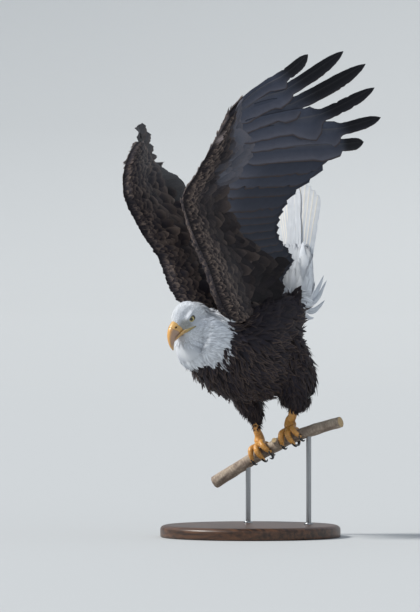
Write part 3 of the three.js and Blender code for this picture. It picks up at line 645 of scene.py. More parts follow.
class Foot:
    """One foot's places about the branch, from the turn round it, the slide along it and a radius."""

    def __init__(self, side):
        self.side, self.way = side, SIDES[side]
        t = perch_share(FOOT_AT[side])
        self.middle, self.along, self.up, self.ahead = perch_axes(t)
        self.grip = perch_radius(t) + TOE_RADIUS + TOE_GAP

    def out(self, degrees):
        turn = np.radians(np.asarray(degrees, float))[..., None]
        return self.up * np.cos(turn) + self.ahead * np.sin(turn)

    def round(self, degrees, slide, radius):
        slide, radius = (np.asarray(v, float)[..., None] for v in (slide, radius))
        return self.middle + self.along * slide * self.way + self.out(degrees) * radius

    def toe(self, toe, share):
        """Middle line of a toe, its outward way and its radius."""
        degrees = mix(*TOE_TURN[toe], share)
        arch = TOE_ARCH * np.sin(math.pi * np.clip(share * 1.1, 0, 1)) * np.clip(share * 3, 0, 1)
        size = TOE_RADIUS * TOE_SIZE[toe] * through(TOE_SWELL, np.clip(share, 0, 1) * 4)
        return self.round(degrees, mix(*TOE_SLIDE[toe], share), self.grip + arch), self.out(degrees), size

    def tarsus(self, share):
        """Middle line of the bare shank and its two half sizes."""
        ankle, ball = np.array(ANKLE[self.side], float), self.round(0, 0, BALL_HEIGHT)
        bare = mix(ankle[2], ball[2], 0.72)
        line = [
            ankle, [mix(ankle[0], ball[0], 0.5), mix(ankle[1], ball[1], 0.45), bare + 8],
            [ball[0], mix(ankle[1], ball[1], 0.85), ball[2] + 12], ball, self.round(0, 0, BALL_HEIGHT - 9),
        ]
        size = SHANK_SIZE[self.side] * through(SHANK_RADIUS, share * 4)
        return through(line, share * 4), size, size


FEET = {side: Foot(side) for side in SIDES}


def foot_bodies():
    """Fine tubes for toes and bare shanks, to be merged into the skin."""
    bodies = []
    for foot in FEET.values():
        path, wide, high = foot.tarsus(np.linspace(0, 1, 24))
        bodies.append(bare_tube(from_perch(limb_rings(path, wide, high, high, (1.0, 0, 0), 20))))
        for toe in TOES:
            path, _, size = foot.toe(toe, np.linspace(-0.05, 1.04, 28))
            bodies.append(bare_tube(from_perch(limb_rings(path, size, size, size, foot.along, 18))))
    return bodies


# ---- the skin ----

FLESH = (
    ["head", "neck", "trunk", "tail_base"]
    + [f"{part}_{side}" for side in SIDES for part in ("upper_arm", "forearm", "hand", "thigh", "shank")]
    + [f"tarsus_{side}" for side in SIDES]
    + [f"toe_{toe}_{side}" for side in SIDES for toe in TOES]
)


def solid_arrays(name):
    """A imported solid's merged points, their normals and its triangles."""
    shape = bmesh.new()
    shape.from_mesh(nodes[name].data)
    bmesh.ops.remove_doubles(shape, verts=shape.verts, dist=1e-6)
    bmesh.ops.triangulate(shape, faces=shape.faces)
    shape.normal_update()
    points = np.array([v.co for v in shape.verts])
    normals = np.array([v.normal for v in shape.verts])
    faces = np.array([[v.index for v in f.verts] for f in shape.faces])
    shape.free()
    return points, normals, faces


SOLIDS = {name: solid_arrays(name) for name in FLESH}


def tree_of(points, faces):
    return BVHTree.FromPolygons(points.tolist(), faces.tolist())


def applied(piece, kind, **settings):
    """Adds a modifier and keeps its result."""
    modifier = piece.modifiers.new(kind.lower(), kind)
    for key, value in settings.items():
        setattr(modifier, key, value)
    bpy.context.view_layer.objects.active = piece
    bpy.ops.object.modifier_apply(modifier=modifier.name)


def mesh_arrays(mesh):
    points = np.zeros(len(mesh.vertices) * 3, np.float32)
    mesh.vertices.foreach_get("co", points)
    faces = np.zeros(len(mesh.loops), np.int32)
    mesh.loops.foreach_get("vertex_index", faces)
    return points.reshape(-1, 3).astype(float), faces.reshape(-1, 3)


def smooth_normals(points, faces, rounds):
    """Point normals, averaged over their neighbours a few times."""
    normal = np.zeros_like(points)
    a, b, c = (points[faces[:, k]] for k in range(3))
    facing = np.cross(b - a, c - a)
    for k in range(3):
        np.add.at(normal, faces[:, k], facing)
    normal = unit(normal)
    for _ in range(rounds):
        total = normal.copy()
        for k in range(3):
            np.add.at(total, faces[:, k], normal[faces[:, (k + 1) % 3]] + normal[faces[:, (k + 2) % 3]])
        normal = unit(total)
    return normal


def solid_triangles(name):
    """The corners of a solid's triangles, and their areas."""
    points, _, faces = SOLIDS[name]
    a, b, c = (points[faces[:, k]] for k in range(3))
    return a, b, c, np.linalg.norm(np.cross(b - a, c - a), axis=1) / 2


def sample(name, count, draw):
    """Even random places on a solid's surface."""
    a, b, c, area = solid_triangles(name)
    pick = draw.choice(len(area), count, p=area / area.sum())
    u, v = np.sqrt(draw.random((2, count, 1)))[0], draw.random((count, 1))
    return a[pick] * (1 - u) + b[pick] * u * (1 - v) + c[pick] * u * v


def kind_of(name):
    """upper_arm of upper_arm_left, toe of toe_hind_right, and so on."""
    return next(kind for kind in COAT_DEPTH if name.startswith(kind))


def tree_of_places(places):
    tree = KDTree(len(places))
    for i, place in enumerate(places.tolist()):
        tree.insert(place, i)
    tree.balance()
    return tree


def label_tree():
    """A tree of places on the solids, to ask which solid a place is nearest to."""
    draw = np.random.default_rng(3)
    places, names = [], []
    for name in FLESH:
        count = 500 if kind_of(name) in ("toe", "tarsus") else 4000
        places.append(sample(name, count, draw))
        names += [name] * count
    return tree_of_places(np.concatenate(places)), names


LABELS, LABEL_NAMES = label_tree()


def labels(places):
    return [LABEL_NAMES[LABELS.find(place)[1]] for place in places.tolist()]


# ridge of bone over each eye: left, back and up in the head's frame, with its radius
BROW = np.array([
    [19, -22, 5, 4.4], [25.5, -13, 8.8, 5.8], [29, -3, 12, 6.4], [29.4, 8, 12.4, 5.8], [27, 18, 8, 4],
])
# fill of the throat: left, back and up in the head's frame, with its half width and half depth
THROAT = np.array([
    [-2, -22, -26, 24, 20], [-4, -34, -44, 32, 24], [-6, -42, -62, 38, 27], [-4, -46, -80, 40, 27],
    [2, -42, -100, 34, 24],
])


def limb_rings(path, wide, high, low, across, sides):
    """Rings about a path: wide is the half width along across, high and low lie square to it."""
    tangent = unit(np.gradient(path, axis=0))
    up = unit(np.cross(across, tangent))
    flat = np.cross(tangent, up)[:, None]
    turn = np.linspace(0, 2 * math.pi, sides, endpoint=False)[None, :, None]
    wide, high, low = (np.broadcast_to(v, len(path))[:, None, None] for v in (wide, high, low))
    rise = np.sin(turn)
    return path[:, None] + flat * np.cos(turn) * wide + up[:, None] * rise * np.where(rise > 0, high, low)


def brow_body(sign):
    line = through(BROW, np.linspace(0, len(BROW) - 1, 15))
    path, size = from_head(line[:, :3] * (sign, 1, 1)), line[:, 3] * MM
    return bare_tube(limb_rings(path, size, size, size, (0, 0, 1.0), 12))


def throat_body():
    """Fills the fold between the chin and the ruff, so that the throat's feathers lie in one sweep."""
    line = through(THROAT, np.linspace(0, len(THROAT) - 1, 17))
    deep = line[:, 4] * MM
    return bare_tube(limb_rings(from_head(line[:, :3]), line[:, 3] * MM, deep, deep, HEAD_AXES[:, 0], 24))


def bare_tube(rings):
    return tube_part(rings, np.zeros_like(rings), np.zeros_like(rings))


def make_skin():
    """All flesh as one closed skin, drawn in from the solids' surface by the coat's depth."""
    points, faces, start = [], [], 0
    for name, (place, normal, face) in SOLIDS.items():
        if kind_of(name) in ("toe", "tarsus"):
            continue
        points.append(place + normal * CLOSE_GAP * MM)
        faces.append(face + start)
        start += len(place)
    faces = np.concatenate(faces).tolist()
    for body in [brow_body(sign) for sign in SIDES.values()] + [throat_body()] + foot_bodies():
        points.append(body["points"])
        for face, _ in body["faces"]:
            faces += (face + start).tolist()
        start += len(body["points"])
    mesh = bpy.data.meshes.new("skin")
    mesh.from_pydata(np.concatenate(points).tolist(), [], faces)
    skin = placed("skin", mesh)
    applied(skin, "REMESH", mode="VOXEL", voxel_size=SKIN_VOXEL * MM)
    applied(skin, "TRIANGULATE")
    applied(skin, "SMOOTH", factor=0.5, iterations=5)

    places, faces = mesh_arrays(skin.data)
    depth = np.array([COAT_DEPTH[kind_of(name)] for name in labels(places)]) * MM
    for _ in range(10):
        total, count = depth.copy(), np.ones(len(depth))
        for k in range(3):
            np.add.at(total, faces[:, k], depth[faces[:, (k + 1) % 3]])
            np.add.at(count, faces[:, k], 1)
        depth = total / count
    places -= smooth_normals(places, faces, 3) * depth[:, None]
    skin.data.vertices.foreach_set("co", places.ravel())
    applied(skin, "SMOOTH", factor=0.5, iterations=2)
    fine = skin.vertex_groups.new(name="fine")
    plain = [i for i, name in enumerate(labels(places)) if kind_of(name) not in ("head", "toe", "tarsus")]
    fine.add(plain, 1.0, "REPLACE")
    share = SKIN_TRIANGLES / len(skin.data.polygons)
    if share < 1:
        applied(skin, "DECIMATE", ratio=share, vertex_group="fine")
    return skin


skin = make_skin()


def unwrap(piece):
    """Lays the piece's own shape out on the bake map."""
    piece.data.uv_layers.new(name="OFBake")
    bpy.context.view_layer.objects.active = piece
    bpy.ops.object.select_all(action="DESELECT")
    piece.select_set(True)
    bpy.ops.object.mode_set(mode="EDIT")
    bpy.ops.mesh.select_all(action="SELECT")
    bpy.ops.uv.smart_project(angle_limit=math.radians(70), island_margin=0.001)
    bpy.ops.object.mode_set(mode="OBJECT")


unwrap(skin)
SKIN_POINTS, SKIN_FACES = mesh_arrays(skin.data)
SKIN_NORMALS = smooth_normals(SKIN_POINTS, SKIN_FACES, 8)
SKIN_TREE = tree_of(SKIN_POINTS, SKIN_FACES)
skin_uv = np.zeros(len(skin.data.loops) * 2, np.float32)
skin.data.uv_layers["OFBake"].data.foreach_get("uv", skin_uv)
SKIN_UV = skin_uv.reshape(-1, 3, 2)


def on_skin(places):
    """The nearest places on the skin, with their smoothed normals and places on the bake map."""
    spots, found = np.empty_like(places), np.empty(len(places), int)
    for i, place in enumerate(places.tolist()):
        spot, _, face, _ = SKIN_TREE.find_nearest(place)
        spots[i], found[i] = spot, face
    a, b, c = (SKIN_POINTS[SKIN_FACES[found, k]] for k in range(3))
    ab, ac, at = b - a, c - a, spots - a
    dots = [(x * y).sum(-1) for x, y in ((ab, ab), (ab, ac), (ac, ac), (at, ab), (at, ac))]
    below = np.maximum(dots[0] * dots[2] - dots[1] ** 2, 1e-24)
    v = (dots[2] * dots[3] - dots[1] * dots[4]) / below
    w = (dots[0] * dots[4] - dots[1] * dots[3]) / below
    share = np.clip(np.stack([1 - v - w, v, w], -1), 0, 1)[..., None]
    normal = unit((SKIN_NORMALS[SKIN_FACES[found]] * share).sum(1))
    return spots, normal, (SKIN_UV[found] * share).sum(1)


# ---- markings, the same for skin and coat ----

BROWN = linear("#252229")
BROWN_EDGE = linear("#6a5a50")
WHITE = linear("#dde1e6")
# bluish grey painted shade on the white feathers
WHITE_SHADE = linear("#b3bbc8")
# painted shade on the lores, as if cast by the brow
LORE_GREY = linear("#9c9d98")
YELLOW_SKIN = linear("#d69c50")
YELLOW_DEEP = linear("#9c6a2c")
HOOD_REACH, HOOD_DROP = 80, 22  # from the face to the last white roots, in mm
VENT_HEIGHT = 318  # above it the coat round the tail is white, in mm


def whiteness(places):
    """1 in the white hood and the white tail coverts, 0 in the brown coat between."""
    local = (places - PERCH_MIDDLE) / MM
    ragged = wander(places, 0.03, 5) * 5
    kinds = np.array([kind_of(name) for name in labels(places)])
    away = local - HEAD_PLACE
    far = np.linalg.norm(away, axis=-1)
    low = np.clip(-away[:, 2] / far / 1.1, 0, 1)
    drop = np.sin(math.pi * low) + ease((low - 0.5) / 0.3)
    reach = HOOD_REACH + HOOD_DROP * drop + 6 * away[:, 1] / far
    hood = ease((reach + ragged - far) / 4)
    hood = hood * np.isin(kinds, ("head", "neck", "trunk"))
    tail = ease((local[:, 2] - VENT_HEIGHT + (local[:, 1] - 64) * 0.3 + ragged) / 6)
    tail = tail * ((local[:, 1] > 35) & np.isin(kinds, ("tail_base", "trunk")))
    return np.maximum(hood, tail)[..., None]


def bare_face(places):
    """1 on the thinly feathered skin between bill and eye, 0 elsewhere."""
    left, back, up = to_head(places).T
    near = np.hypot(back + 24, up - 2) + 0.4 * np.maximum(0, 12 - np.abs(left))
    return (1 - ease((near - 8) / 9))[..., None]


def markings(places):
    """The coat's colour at a place, with painted shade on the white."""
    streak = 1 + 0.12 * wander(places, 0.02, 8)[..., None]
    brown = BROWN * streak
    # painted shade: the white is greyed toward WHITE_SHADE, by about a quarter and unevenly in soft patches
    white = mix(WHITE, WHITE_SHADE, 0.25 + 0.25 * wander(places, 0.025, 9)[..., None])
    # painted shade: the thinly feathered lores between bill and eye are greyed toward LORE_GREY
    white = mix(white, LORE_GREY, bare_face(places) * 0.8)
    return mix(brown, white, whiteness(places))


def finish_skin():
    """Colours the skin, and gives the feet their scaled finish."""
    mesh = skin.data
    names = [kind_of(name) for name in labels(SKIN_POINTS)]
    scaled = np.array([name in ("toe", "tarsus") for name in names])
    # painted shade: the skin between the feathers is the coat's colour darkened by a fifth
    tint = markings(SKIN_POINTS) * 0.8
    tint[scaled] = mix(YELLOW_SKIN, YELLOW_DEEP, 0.3 + 0.3 * wander(SKIN_POINTS[scaled], 0.012, 4)[:, None])
    set_tint(mesh, tint)
    mesh.materials.append(FINISH["down_on_skin"])
    mesh.materials.append(FINISH["scaled_skin"])
    mesh.polygons.foreach_set("material_index", scaled[SKIN_FACES].all(axis=1).astype(int))
    mesh.shade_smooth()
    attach(skin, "root")
    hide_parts(*FLESH)


FINISH = make_materials()
finish_skin()


# ---- feathers that lie on the skin ----

SKIN_NEAR = 16  # a root that has to move further, in mm, is dropped


def scatter(names, spacing, seed):
    """Roots over some solids, moved to the skin and no nearer to each other than the spacing.

    The spacing is in millimetres: one number, or a function of the places.
    """
    def apart(places):
        return np.broadcast_to(spacing(places) if callable(spacing) else spacing, len(places)) * MM

    draw = np.random.default_rng(seed)
    places = []
    for name in names:
        area = solid_triangles(name)[3].sum()
        least = apart(sample(name, 400, draw)).min()
        places.append(sample(name, int(4 * area / least ** 2), draw))
    places = np.concatenate(places)
    places = places[draw.permutation(len(places))]
    reach = apart(places)
    tree = tree_of_places(places)
    alive = np.ones(len(places), bool)
    for i in range(len(places)):
        if alive[i]:
            for _, other, _ in tree.find_range(places[i], reach[i]):
                alive[other] = other == i
    places = places[alive]
    spots, normal, home = on_skin(places)
    return kept((spots, normal, home), np.linalg.norm(spots - places, axis=1) < SKIN_NEAR * MM)


def kept(roots, choice):
    """The same arrays with only the chosen feathers in them."""
    return tuple(values[choice] for values in roots)


def toward_tip(rows, crowd=1.35):
    """Shares of a feather's length from root to tip, closer together near the tip."""
    return 1 - (1 - np.linspace(0, 1, rows)) ** crowd


def thinned(thick, t, a, taper):
    """Thickness over small vanes: most along the shaft at the root, and none at both edges."""
    return thick[:, None, None] * (1 - taper * t)[None, :, None] * (1 - np.abs(a)) ** 0.7


def feather_shades(tint, edge, t, a, root, sides, tip, tip_from):
    """Colours over small vanes: root is the painted shade at the root, where the feathers above cover it;
    sides and tip the rim's strengths.
    """
    rim = np.clip(np.abs(a) ** 3 * sides + ease((t[:, None] - tip_from) / (1 - tip_from)) * tip, 0, 1)
    rim = rim * ease(t / 0.4)[:, None]
    # painted shade: the tint is darker toward the root
    base = tint[:, None, None] * mix(root, 1.05, ease(t / 0.6))[None, :, None, None]
    return mix(base, edge[:, None, None], rim[None, ..., None])


def outline(t, blunt):
    """A vane's half width along its length: blunt 1 is a lancet, 2 an oval and more is squarer."""
    start = 0.4 + 0.6 * ease(t / 0.4)
    end = (1 - np.clip((t - 0.35) / 0.65, 0, 1) ** blunt) ** (0.55 if blunt > 1.5 else 0.9)
    return np.maximum(start * end, 0.06)


def plumage(roots, flow, length, width, rise, tint, edge, seed, blunt, flare, sink, turn=8,
            rows=6, columns=5, camber=0.16, fray=0.1, steps=4, uneven=0.35):
    """Feathers laid along the skin from their roots, each following the coat's flow.

    Length, half width and rise (the tip's height over the skin) are in metres, one for each root,
    and sink, also in metres, is the root's depth. Tint and edge are each feather's colour and its
    rim's. Turn is the spread of their directions in degrees; flare, camber and fray are shares of
    their size, and uneven is the spread of their rise.
    """
    draw = np.random.default_rng(seed)
    here, _, home = roots
    count = len(here)
    angle = np.radians(draw.normal(0, turn, count))[:, None]
    spots, normals, ways = [], [], []
    for _ in range(steps + 1):
        here, normal, _ = on_skin(here)
        way = flow(here, normal)
        way = unit(way - normal * (way * normal).sum(-1, keepdims=True))
        way = way * np.cos(angle) + np.cross(normal, way) * np.sin(angle)
        spots.append(here)
        normals.append(normal)
        ways.append(way)
        here = here + way * (length / steps)[:, None]
    t = toward_tip(rows)
    low = np.minimum((t * steps).astype(int), steps - 1)
    part = (t * steps - low)[None, :, None]

    def between(values):
        values = np.stack(values, 1)
        return values[:, low] * (1 - part) + values[:, low + 1] * part

    path, normal, way = between(spots), unit(between(normals)), unit(between(ways))
    side = np.cross(way, normal)
    loose = np.maximum(draw.normal(1, uneven, count), 0.2)[:, None]
    height = -sink + (rise[:, None] * loose + sink) * (1 - (1 - t) ** 1.7)
    height = height + (length[:, None] * flare * draw.normal(0.3, 0.5, (count, 1))) * t ** 2.5
    sway = draw.normal(0, 0.07, (count, 1)) * length[:, None] * t ** 2
    a = np.linspace(-1, 1, columns)
    ragged = 1 + fray * draw.normal(0, 1, (count, rows, columns)) * t[None, :, None]
    half = width[:, None, None] * outline(t, blunt)[None, :, None]
    wide = half * a * ragged
    drop = camber * half * a ** 2
    grid = path[:, :, None] + normal[:, :, None] * (height[..., None] - drop)[..., None]
    grid = grid + side[:, :, None] * (wide + sway[..., None])[..., None]
    thick = thinned(np.minimum(0.04 * length, 0.0011), t, a, 0.7)
    # painted shade: darker toward each root, and a darker copy of the colour on the underside
    colour = feather_shades(tint, edge, t, a, root=0.62, sides=0.8, tip=0.7, tip_from=0.8)
    return vane_part(grid, normal[:, :, None], thick, colour, colour * 0.8, home)


# ---- the lie of the coat ----

BILL_POINT = [0, -62, -6]  # the head's feathers lie away from here
THROAT_FLOW = np.array([0.0, 0.5, -0.85])


def head_flow(here, normal):
    """Back from the bill, then as the neck's feathers lie, and down below the chin."""
    local = to_head(here)
    back = unit(here - from_head(BILL_POINT))
    away = mix(back, neck_flow(here, normal), ease((local[:, 1:2] - 20) / 30))
    return mix(away, THROAT_FLOW, ease((-local[:, 2:] - 16) / 16) * front_below(here))


def front_below(here):
    """1 on the throat, where a way out from the face would stand square on the skin."""
    out = unit(here - from_perch(HEAD_PLACE))
    return ease((0.25 - out[:, 1:2]) / 0.4) * ease((-0.25 - out[:, 2:]) / 0.4)


def neck_flow(here, normal):
    """Out from the face all round, and back along the neck above."""
    out = unit(here - from_perch(HEAD_PLACE))
    return unit(out + (0.05, 0.35, -0.35) + front_below(here) * (0, 0.45, -0.45))


def body_flow(here, normal):
    """Down the breast, back along the body and up over the rump, sagging a little at the sides."""
    y = (here[:, 1:2] - PERCH_MIDDLE[1]) / MM
    rise = mix(mix(-0.75, 0.12, ease((y + 250) / 130)), 0.9, ease((y - 10) / 50))
    sag = -0.35 * ease(np.abs(normal[:, :1])) * (1 - ease((y + 20) / 40))
    return np.column_stack([np.zeros(len(here)), np.ones(len(here)), rise + sag])


def leg_flow(here, normal):
    return np.broadcast_to([0.0, 0.28, -0.96], here.shape)


def tail_flow(here, normal):
    return np.broadcast_to([0.0, 0.06, 1.0], here.shape)


def rim_colours(places, pale, draw):
    """Each feather's own colour, and its rim's: paler by pale where the coat is brown, and darkened as
    painted shade where it is white.
    """
    base = markings(places) * draw.normal(1, 0.1, (len(places), 1))
    white = whiteness(places)
    share = np.clip(pale * (1 + 0.5 * draw.normal(0, 1, (len(places), 1))), 0, 1)
    # painted shade: on white feathers the rim is the colour darkened, so that lines of shade show between
    # them
    return base, mix(mix(base, BROWN_EDGE, share), base * 0.86, white)


GAZE = unit(np.array([0.89, -0.36, 0.22]))  # the left eye's axis in the head's frame
EYE_CLEAR = math.radians(62)  # half angle of the eye's opening about its axis
MOUTH_CLEAR = 3.4  # bare half width of the mouth's corner, in mm


def clear_of_face(roots):
    """Leaves bare the eye's opening, the bill's base and the corner of the mouth."""
    left, back, up = to_head(roots[0]).T
    gaze = unit(np.column_stack([np.abs(left) - EYE_OFFSET, back, up]))
    eye = (gaze @ GAZE > math.cos(EYE_CLEAR)) & (np.hypot(back, up) < 16)
    bill = (back < -30) & (np.abs(left) < 24) & (up > -24)
    line = through(GAPE, np.linspace(2, 5, 25))
    from_line = np.hypot((back[:, None] - line[:, 1] + 1.2) / 1.5, up[:, None] - line[:, 2]).min(1)
    return kept(roots, ~(eye | bill | (from_line < MOUTH_CLEAR)))


HOOD_WHITE, BODY_BROWN = 0.4, 0.6  # whiteness above which white feathers root, below which brown do
GROWN_FROM, GROWN_OVER = 36, 32  # from the face to where the head's hackles start, in mm


def head_growth(places):
    """0 on the face and 1 where the head's feathers have grown into hackles; and how far below."""
    left, back, up = to_head(places).T
    far = np.sqrt((0.7 * left) ** 2 + (back + 15) ** 2 + up ** 2)
    return ease((far - GROWN_FROM) / GROWN_OVER), ease((-up - 14) / 22)


def varied(length_mm, spread, least, most, draw):
    """Lengths in metres, one for each root, that vary about these in millimetres."""
    return length_mm * MM * np.clip(draw.normal(1, spread, len(length_mm)), least, most)


def head_feathers():
    roots = clear_of_face(scatter(["head"], lambda places: mix(1.75, 3.6, head_growth(places)[0]), 21))
    roots = kept(roots, whiteness(roots[0])[:, 0] > HOOD_WHITE)
    draw = np.random.default_rng(22)
    grown, below = head_growth(roots[0])
    length = varied(mix(4.8, 34, grown ** 1.2), 0.18, 0.6, 1.5, draw)
    width = np.minimum(length * mix(0.24, 0.12, grown), 3.6 * MM)
    rise = (mix(0.9, 3, grown) + 2 * below * grown) * MM
    tint, edge = rim_colours(roots[0], 0.3, draw)
    part = plumage(roots, head_flow, length, width, rise, tint, edge, 23, blunt=1.3, flare=0.05,
                   sink=0.0006, rows=5, columns=3, steps=3, uneven=0.15)
    build("head_feathers", [part], "white_feather")


def neck_hackles():
    roots = scatter(["neck", "trunk"], 4, 31)
    roots = kept(roots, whiteness(roots[0])[:, 0] > HOOD_WHITE)
    draw = np.random.default_rng(32)
    local = (roots[0] - PERCH_MIDDLE) / MM
    throat = ease((-278 - local[:, 1]) / 40) * ease((300 - local[:, 2]) / 60)
    length = varied(mix(38, 34, throat), 0.2, 0.5, 1.5, draw)
    width = np.minimum(length * 0.1, 3.9 * MM)
    tint, edge = rim_colours(roots[0], 0.5, draw)
    part = plumage(roots, neck_flow, length, width, mix(7, 9, throat) * MM, tint, edge, 33, blunt=1.2,
                   flare=0.08, sink=0.002, camber=0.08, steps=3, uneven=0.15)
    build("neck_hackles", [part], "white_feather")


def trunk_feathers():
    roots = scatter(["trunk", "neck", "head"], 6.6, 41)
    roots = kept(roots, whiteness(roots[0])[:, 0] < BODY_BROWN)
    draw = np.random.default_rng(42)
    back = ease((roots[1][:, 2] - 0.1) / 0.5)
    length = varied(mix(34, 44, back), 0.2, 0.5, 1.5, draw)
    tint, edge = rim_colours(roots[0], mix(0.7, 0.15, back)[:, None], draw)
    width = length * mix(0.13, 0.24, back)
    y = (roots[0][:, 1] - PERCH_MIDDLE[1]) / MM
    rise = mix(mix(9, 7.5, back), 3.5, ease((y + 20) / 60)) * MM
    front = y < -130
    for name, half, seed in (("breast_feathers", front, 43), ("flank_feathers", ~front, 44)):
        part = plumage(kept(roots, half), body_flow, length[half], width[half], rise[half], tint[half],
                       edge[half], seed, blunt=1.5, flare=0.17, sink=0.002, turn=17, fray=0.26)
        build(name, [part], "contour_feather")


LEG_SHORT, LEG_LONG = 11, 38  # feathers at the trousers' lower edge and above, in mm


def leg_feathers():
    for side in SIDES:
        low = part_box(f"shank_{side}")[0].z
        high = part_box(f"thigh_{side}")[1].z

        def growth(places):
            return ease((places[:, 2] - low) / (high - low) / 0.4)

        names = [f"thigh_{side}", f"shank_{side}"]
        roots = scatter(names, lambda places: mix(3.4, 6.2, growth(places)), 51)
        draw = np.random.default_rng(52)
        grown = growth(roots[0])
        length = varied(mix(LEG_SHORT, LEG_LONG, grown), 0.18, 0.5, 1.5, draw)
        tint, edge = rim_colours(roots[0], 0.4, draw)
        part = plumage(roots, leg_flow, length, length * 0.14, mix(3.5, 8.5, grown) * MM, tint, edge, 53,
                       blunt=1.4, flare=0.2, sink=0.0015, turn=15, fray=0.22)
        build(f"trouser_feathers_{side}", [part], "contour_feather")


# loose undertail coverts: root, tip (mm from the branch's middle) and half width
PLUMES = [
    ([14, 82, 338], [44, 132, 398], 6), ([16, 84, 330], [44, 124, 350], 5.5),
    ([10, 84, 324], [22, 110, 308], 5), ([4, 86, 342], [20, 138, 384], 6),
    ([20, 80, 352], [46, 118, 410], 6), ([8, 84, 332], [28, 122, 328], 4.5),
    ([-14, 84, 342], [-30, 126, 392], 6), ([24, 78, 342], [52, 110, 376], 5),
    ([-10, 84, 330], [-22, 118, 344], 5), ([-24, 80, 350], [-42, 110, 402], 6),
]
PLUME_ROWS, PLUME_COLUMNS, PLUME_SAG = 12, 7, 0.22
PLUME_FACE = (0.643, -0.766, 0.35)  # the way their flat sides face


def plumes():
    """Long loose coverts below the tail that the wind has lifted out of the coat."""
    draw = np.random.default_rng(66)
    root, tip = (from_perch([entry[i] for entry in PLUMES]) for i in (0, 1))
    width = np.array([entry[2] for entry in PLUMES]) * MM
    t = np.linspace(0, 1, PLUME_ROWS)
    length = np.linalg.norm(tip - root, axis=1)
    path = root[:, None] + (tip - root)[:, None] * t[None, :, None]
    path = path + np.array([0, 0, 1.0]) * (length[:, None] * -PLUME_SAG * np.sin(math.pi * t))[..., None]
    way = unit(np.gradient(path, axis=1))
    normal = unit(np.cross(np.cross(way, PLUME_FACE), way))
    side = np.cross(way, normal)
    a = np.linspace(-1, 1, PLUME_COLUMNS)
    ragged = 1 + 0.14 * draw.normal(0, 1, (len(root), PLUME_ROWS, PLUME_COLUMNS)) * t[None, :, None]
    wide = width[:, None, None] * outline(t, 1.6)[None, :, None] * a * ragged
    drop = 0.25 * np.abs(wide) * np.abs(a)
    grid = path[:, :, None] + side[:, :, None] * wide[..., None] - normal[:, :, None] * drop[..., None]
    thick = 0.0007 * (1 - 0.6 * t)[None, :, None] * (1 - np.abs(a)) ** 0.6 + 0 * wide
    # painted shade: greyer toward the edges, and a darker copy of the colour on the underside
    colour = mix(WHITE, WHITE_SHADE, (0.4 * np.abs(a))[None, None, :, None]) + 0 * grid
    return vane_part(grid, normal[:, :, None], thick, colour, colour * 0.9, on_skin(root)[2])


COVERT_LONG = 84  # the tail's coverts, in mm
END_CLEAR, END_SPARE = 0.03, 0.004  # bare end of the tail's base, and where tips stop short


def tail_coverts():
    """Long soft feathers that cover the roots of the tail above and below."""
    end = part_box("tail_base")[1].z
    roots = scatter(["tail_base"], 8, 61)
    roots = kept(roots, roots[0][:, 2] < end - END_CLEAR)
    draw = np.random.default_rng(62)
    count = len(roots[0])
    room = end - END_SPARE - roots[0][:, 2]
    length = np.minimum(varied(np.full(count, COVERT_LONG), 0.2, 0.6, 1.4, draw), room)
    tint, edge = rim_colours(roots[0], 0.4, draw)
    part = plumage(roots, tail_flow, length, length * 0.14, np.full(count, 4 * MM), tint, edge, 63,
                   blunt=2.0, flare=0.05, sink=0.001, turn=6, rows=8, fray=0.12)
    build("tail_coverts", [part, plumes()], "white_feather")


# ---- wings ----

def wing_point(wing, s, c):
    """Middle surface of a wing in millimetres, from its front edge (c = 0) to its end (c = 1)."""
    lead, end = through(wing["lead"], s), through(wing["end"], s)
    ahead = through(wing["lead"], np.minimum(s + 0.1, HAND_TIP))
    span = ahead - through(wing["lead"], np.maximum(s - 0.1, 0))
    chord = end - lead
    dorsal = unit(np.cross(span, chord)) * wing["way"]
    bow = 4 * c * (1 - c) * CAMBER * np.linalg.norm(chord, axis=-1)
    return lead + chord * c[..., None] + dorsal * bow[..., None]


NOSE = 0.025  # the front edge's rounding, as a share of the chord


def wing_frame(wing, s, c):
    """A place of the middle surface, the way up its back (dorsal), half its thickness there, and
    the millimetres that one station takes up."""
    low, high = np.clip(s - 0.05, 0, HAND_TIP), np.clip(s + 0.05, 0, HAND_TIP)
    span = wing_point(wing, high, c) - wing_point(wing, low, c)
    chord = wing_point(wing, s, c + 0.02) - wing_point(wing, s, c - 0.02)
    dorsal = unit(np.cross(span, chord)) * wing["way"]
    share = through(ARM_SHARE, s)
    row = np.clip(c / share, 0, 1)
    bulges = [min(2.6 * math.sqrt(r) * (1 - r) ** 1.2, 1) for r in ARM_ROWS]
    arm = mix(4, SHEET_THICK + 1, row) + through(ARM_THICK, s) * np.interp(row, ARM_ROWS, bulges)
    blade = mix(SHEET_THICK, BLADE_THICK, np.clip((c - share) / (1 - share), 0, 1))
    thick = np.where(c < share, arm, np.maximum(blade, mix(SHEET_THICK + 1, blade, (c - share) / 0.03)))
    thick = thick * np.clip(1 + c / NOSE, 0, 1)
    return wing_point(wing, s, c), dorsal, thick / 2, np.linalg.norm(span, axis=-1) / 0.1


BODY_TREES = [tree_of(SOLIDS[name][0], SOLIDS[name][2]) for name in ("trunk", "neck")]
BODY_REACH, BODY_INSIDE = 0.07, 0.004  # inside is nearer than the one and deeper than the other


def in_body(places):
    """True for places inside the trunk or the neck."""
    result = np.zeros(len(places), bool)
    for tree in BODY_TREES:
        for i, place in enumerate(places.tolist()):
            spot, normal, _, far = tree.find_nearest(place)
            result[i] |= far < BODY_REACH and (Vector(place) - spot).dot(normal) < -BODY_INSIDE
    return result


COVER_DEPTH = 260  # usual depth of the cover near the body, in mm
COVER_SPAN = 700  # length of a wing's rows of coverts, in mm
PAST_TIP = 0.06  # stations by which coverts may pass the wing's ends
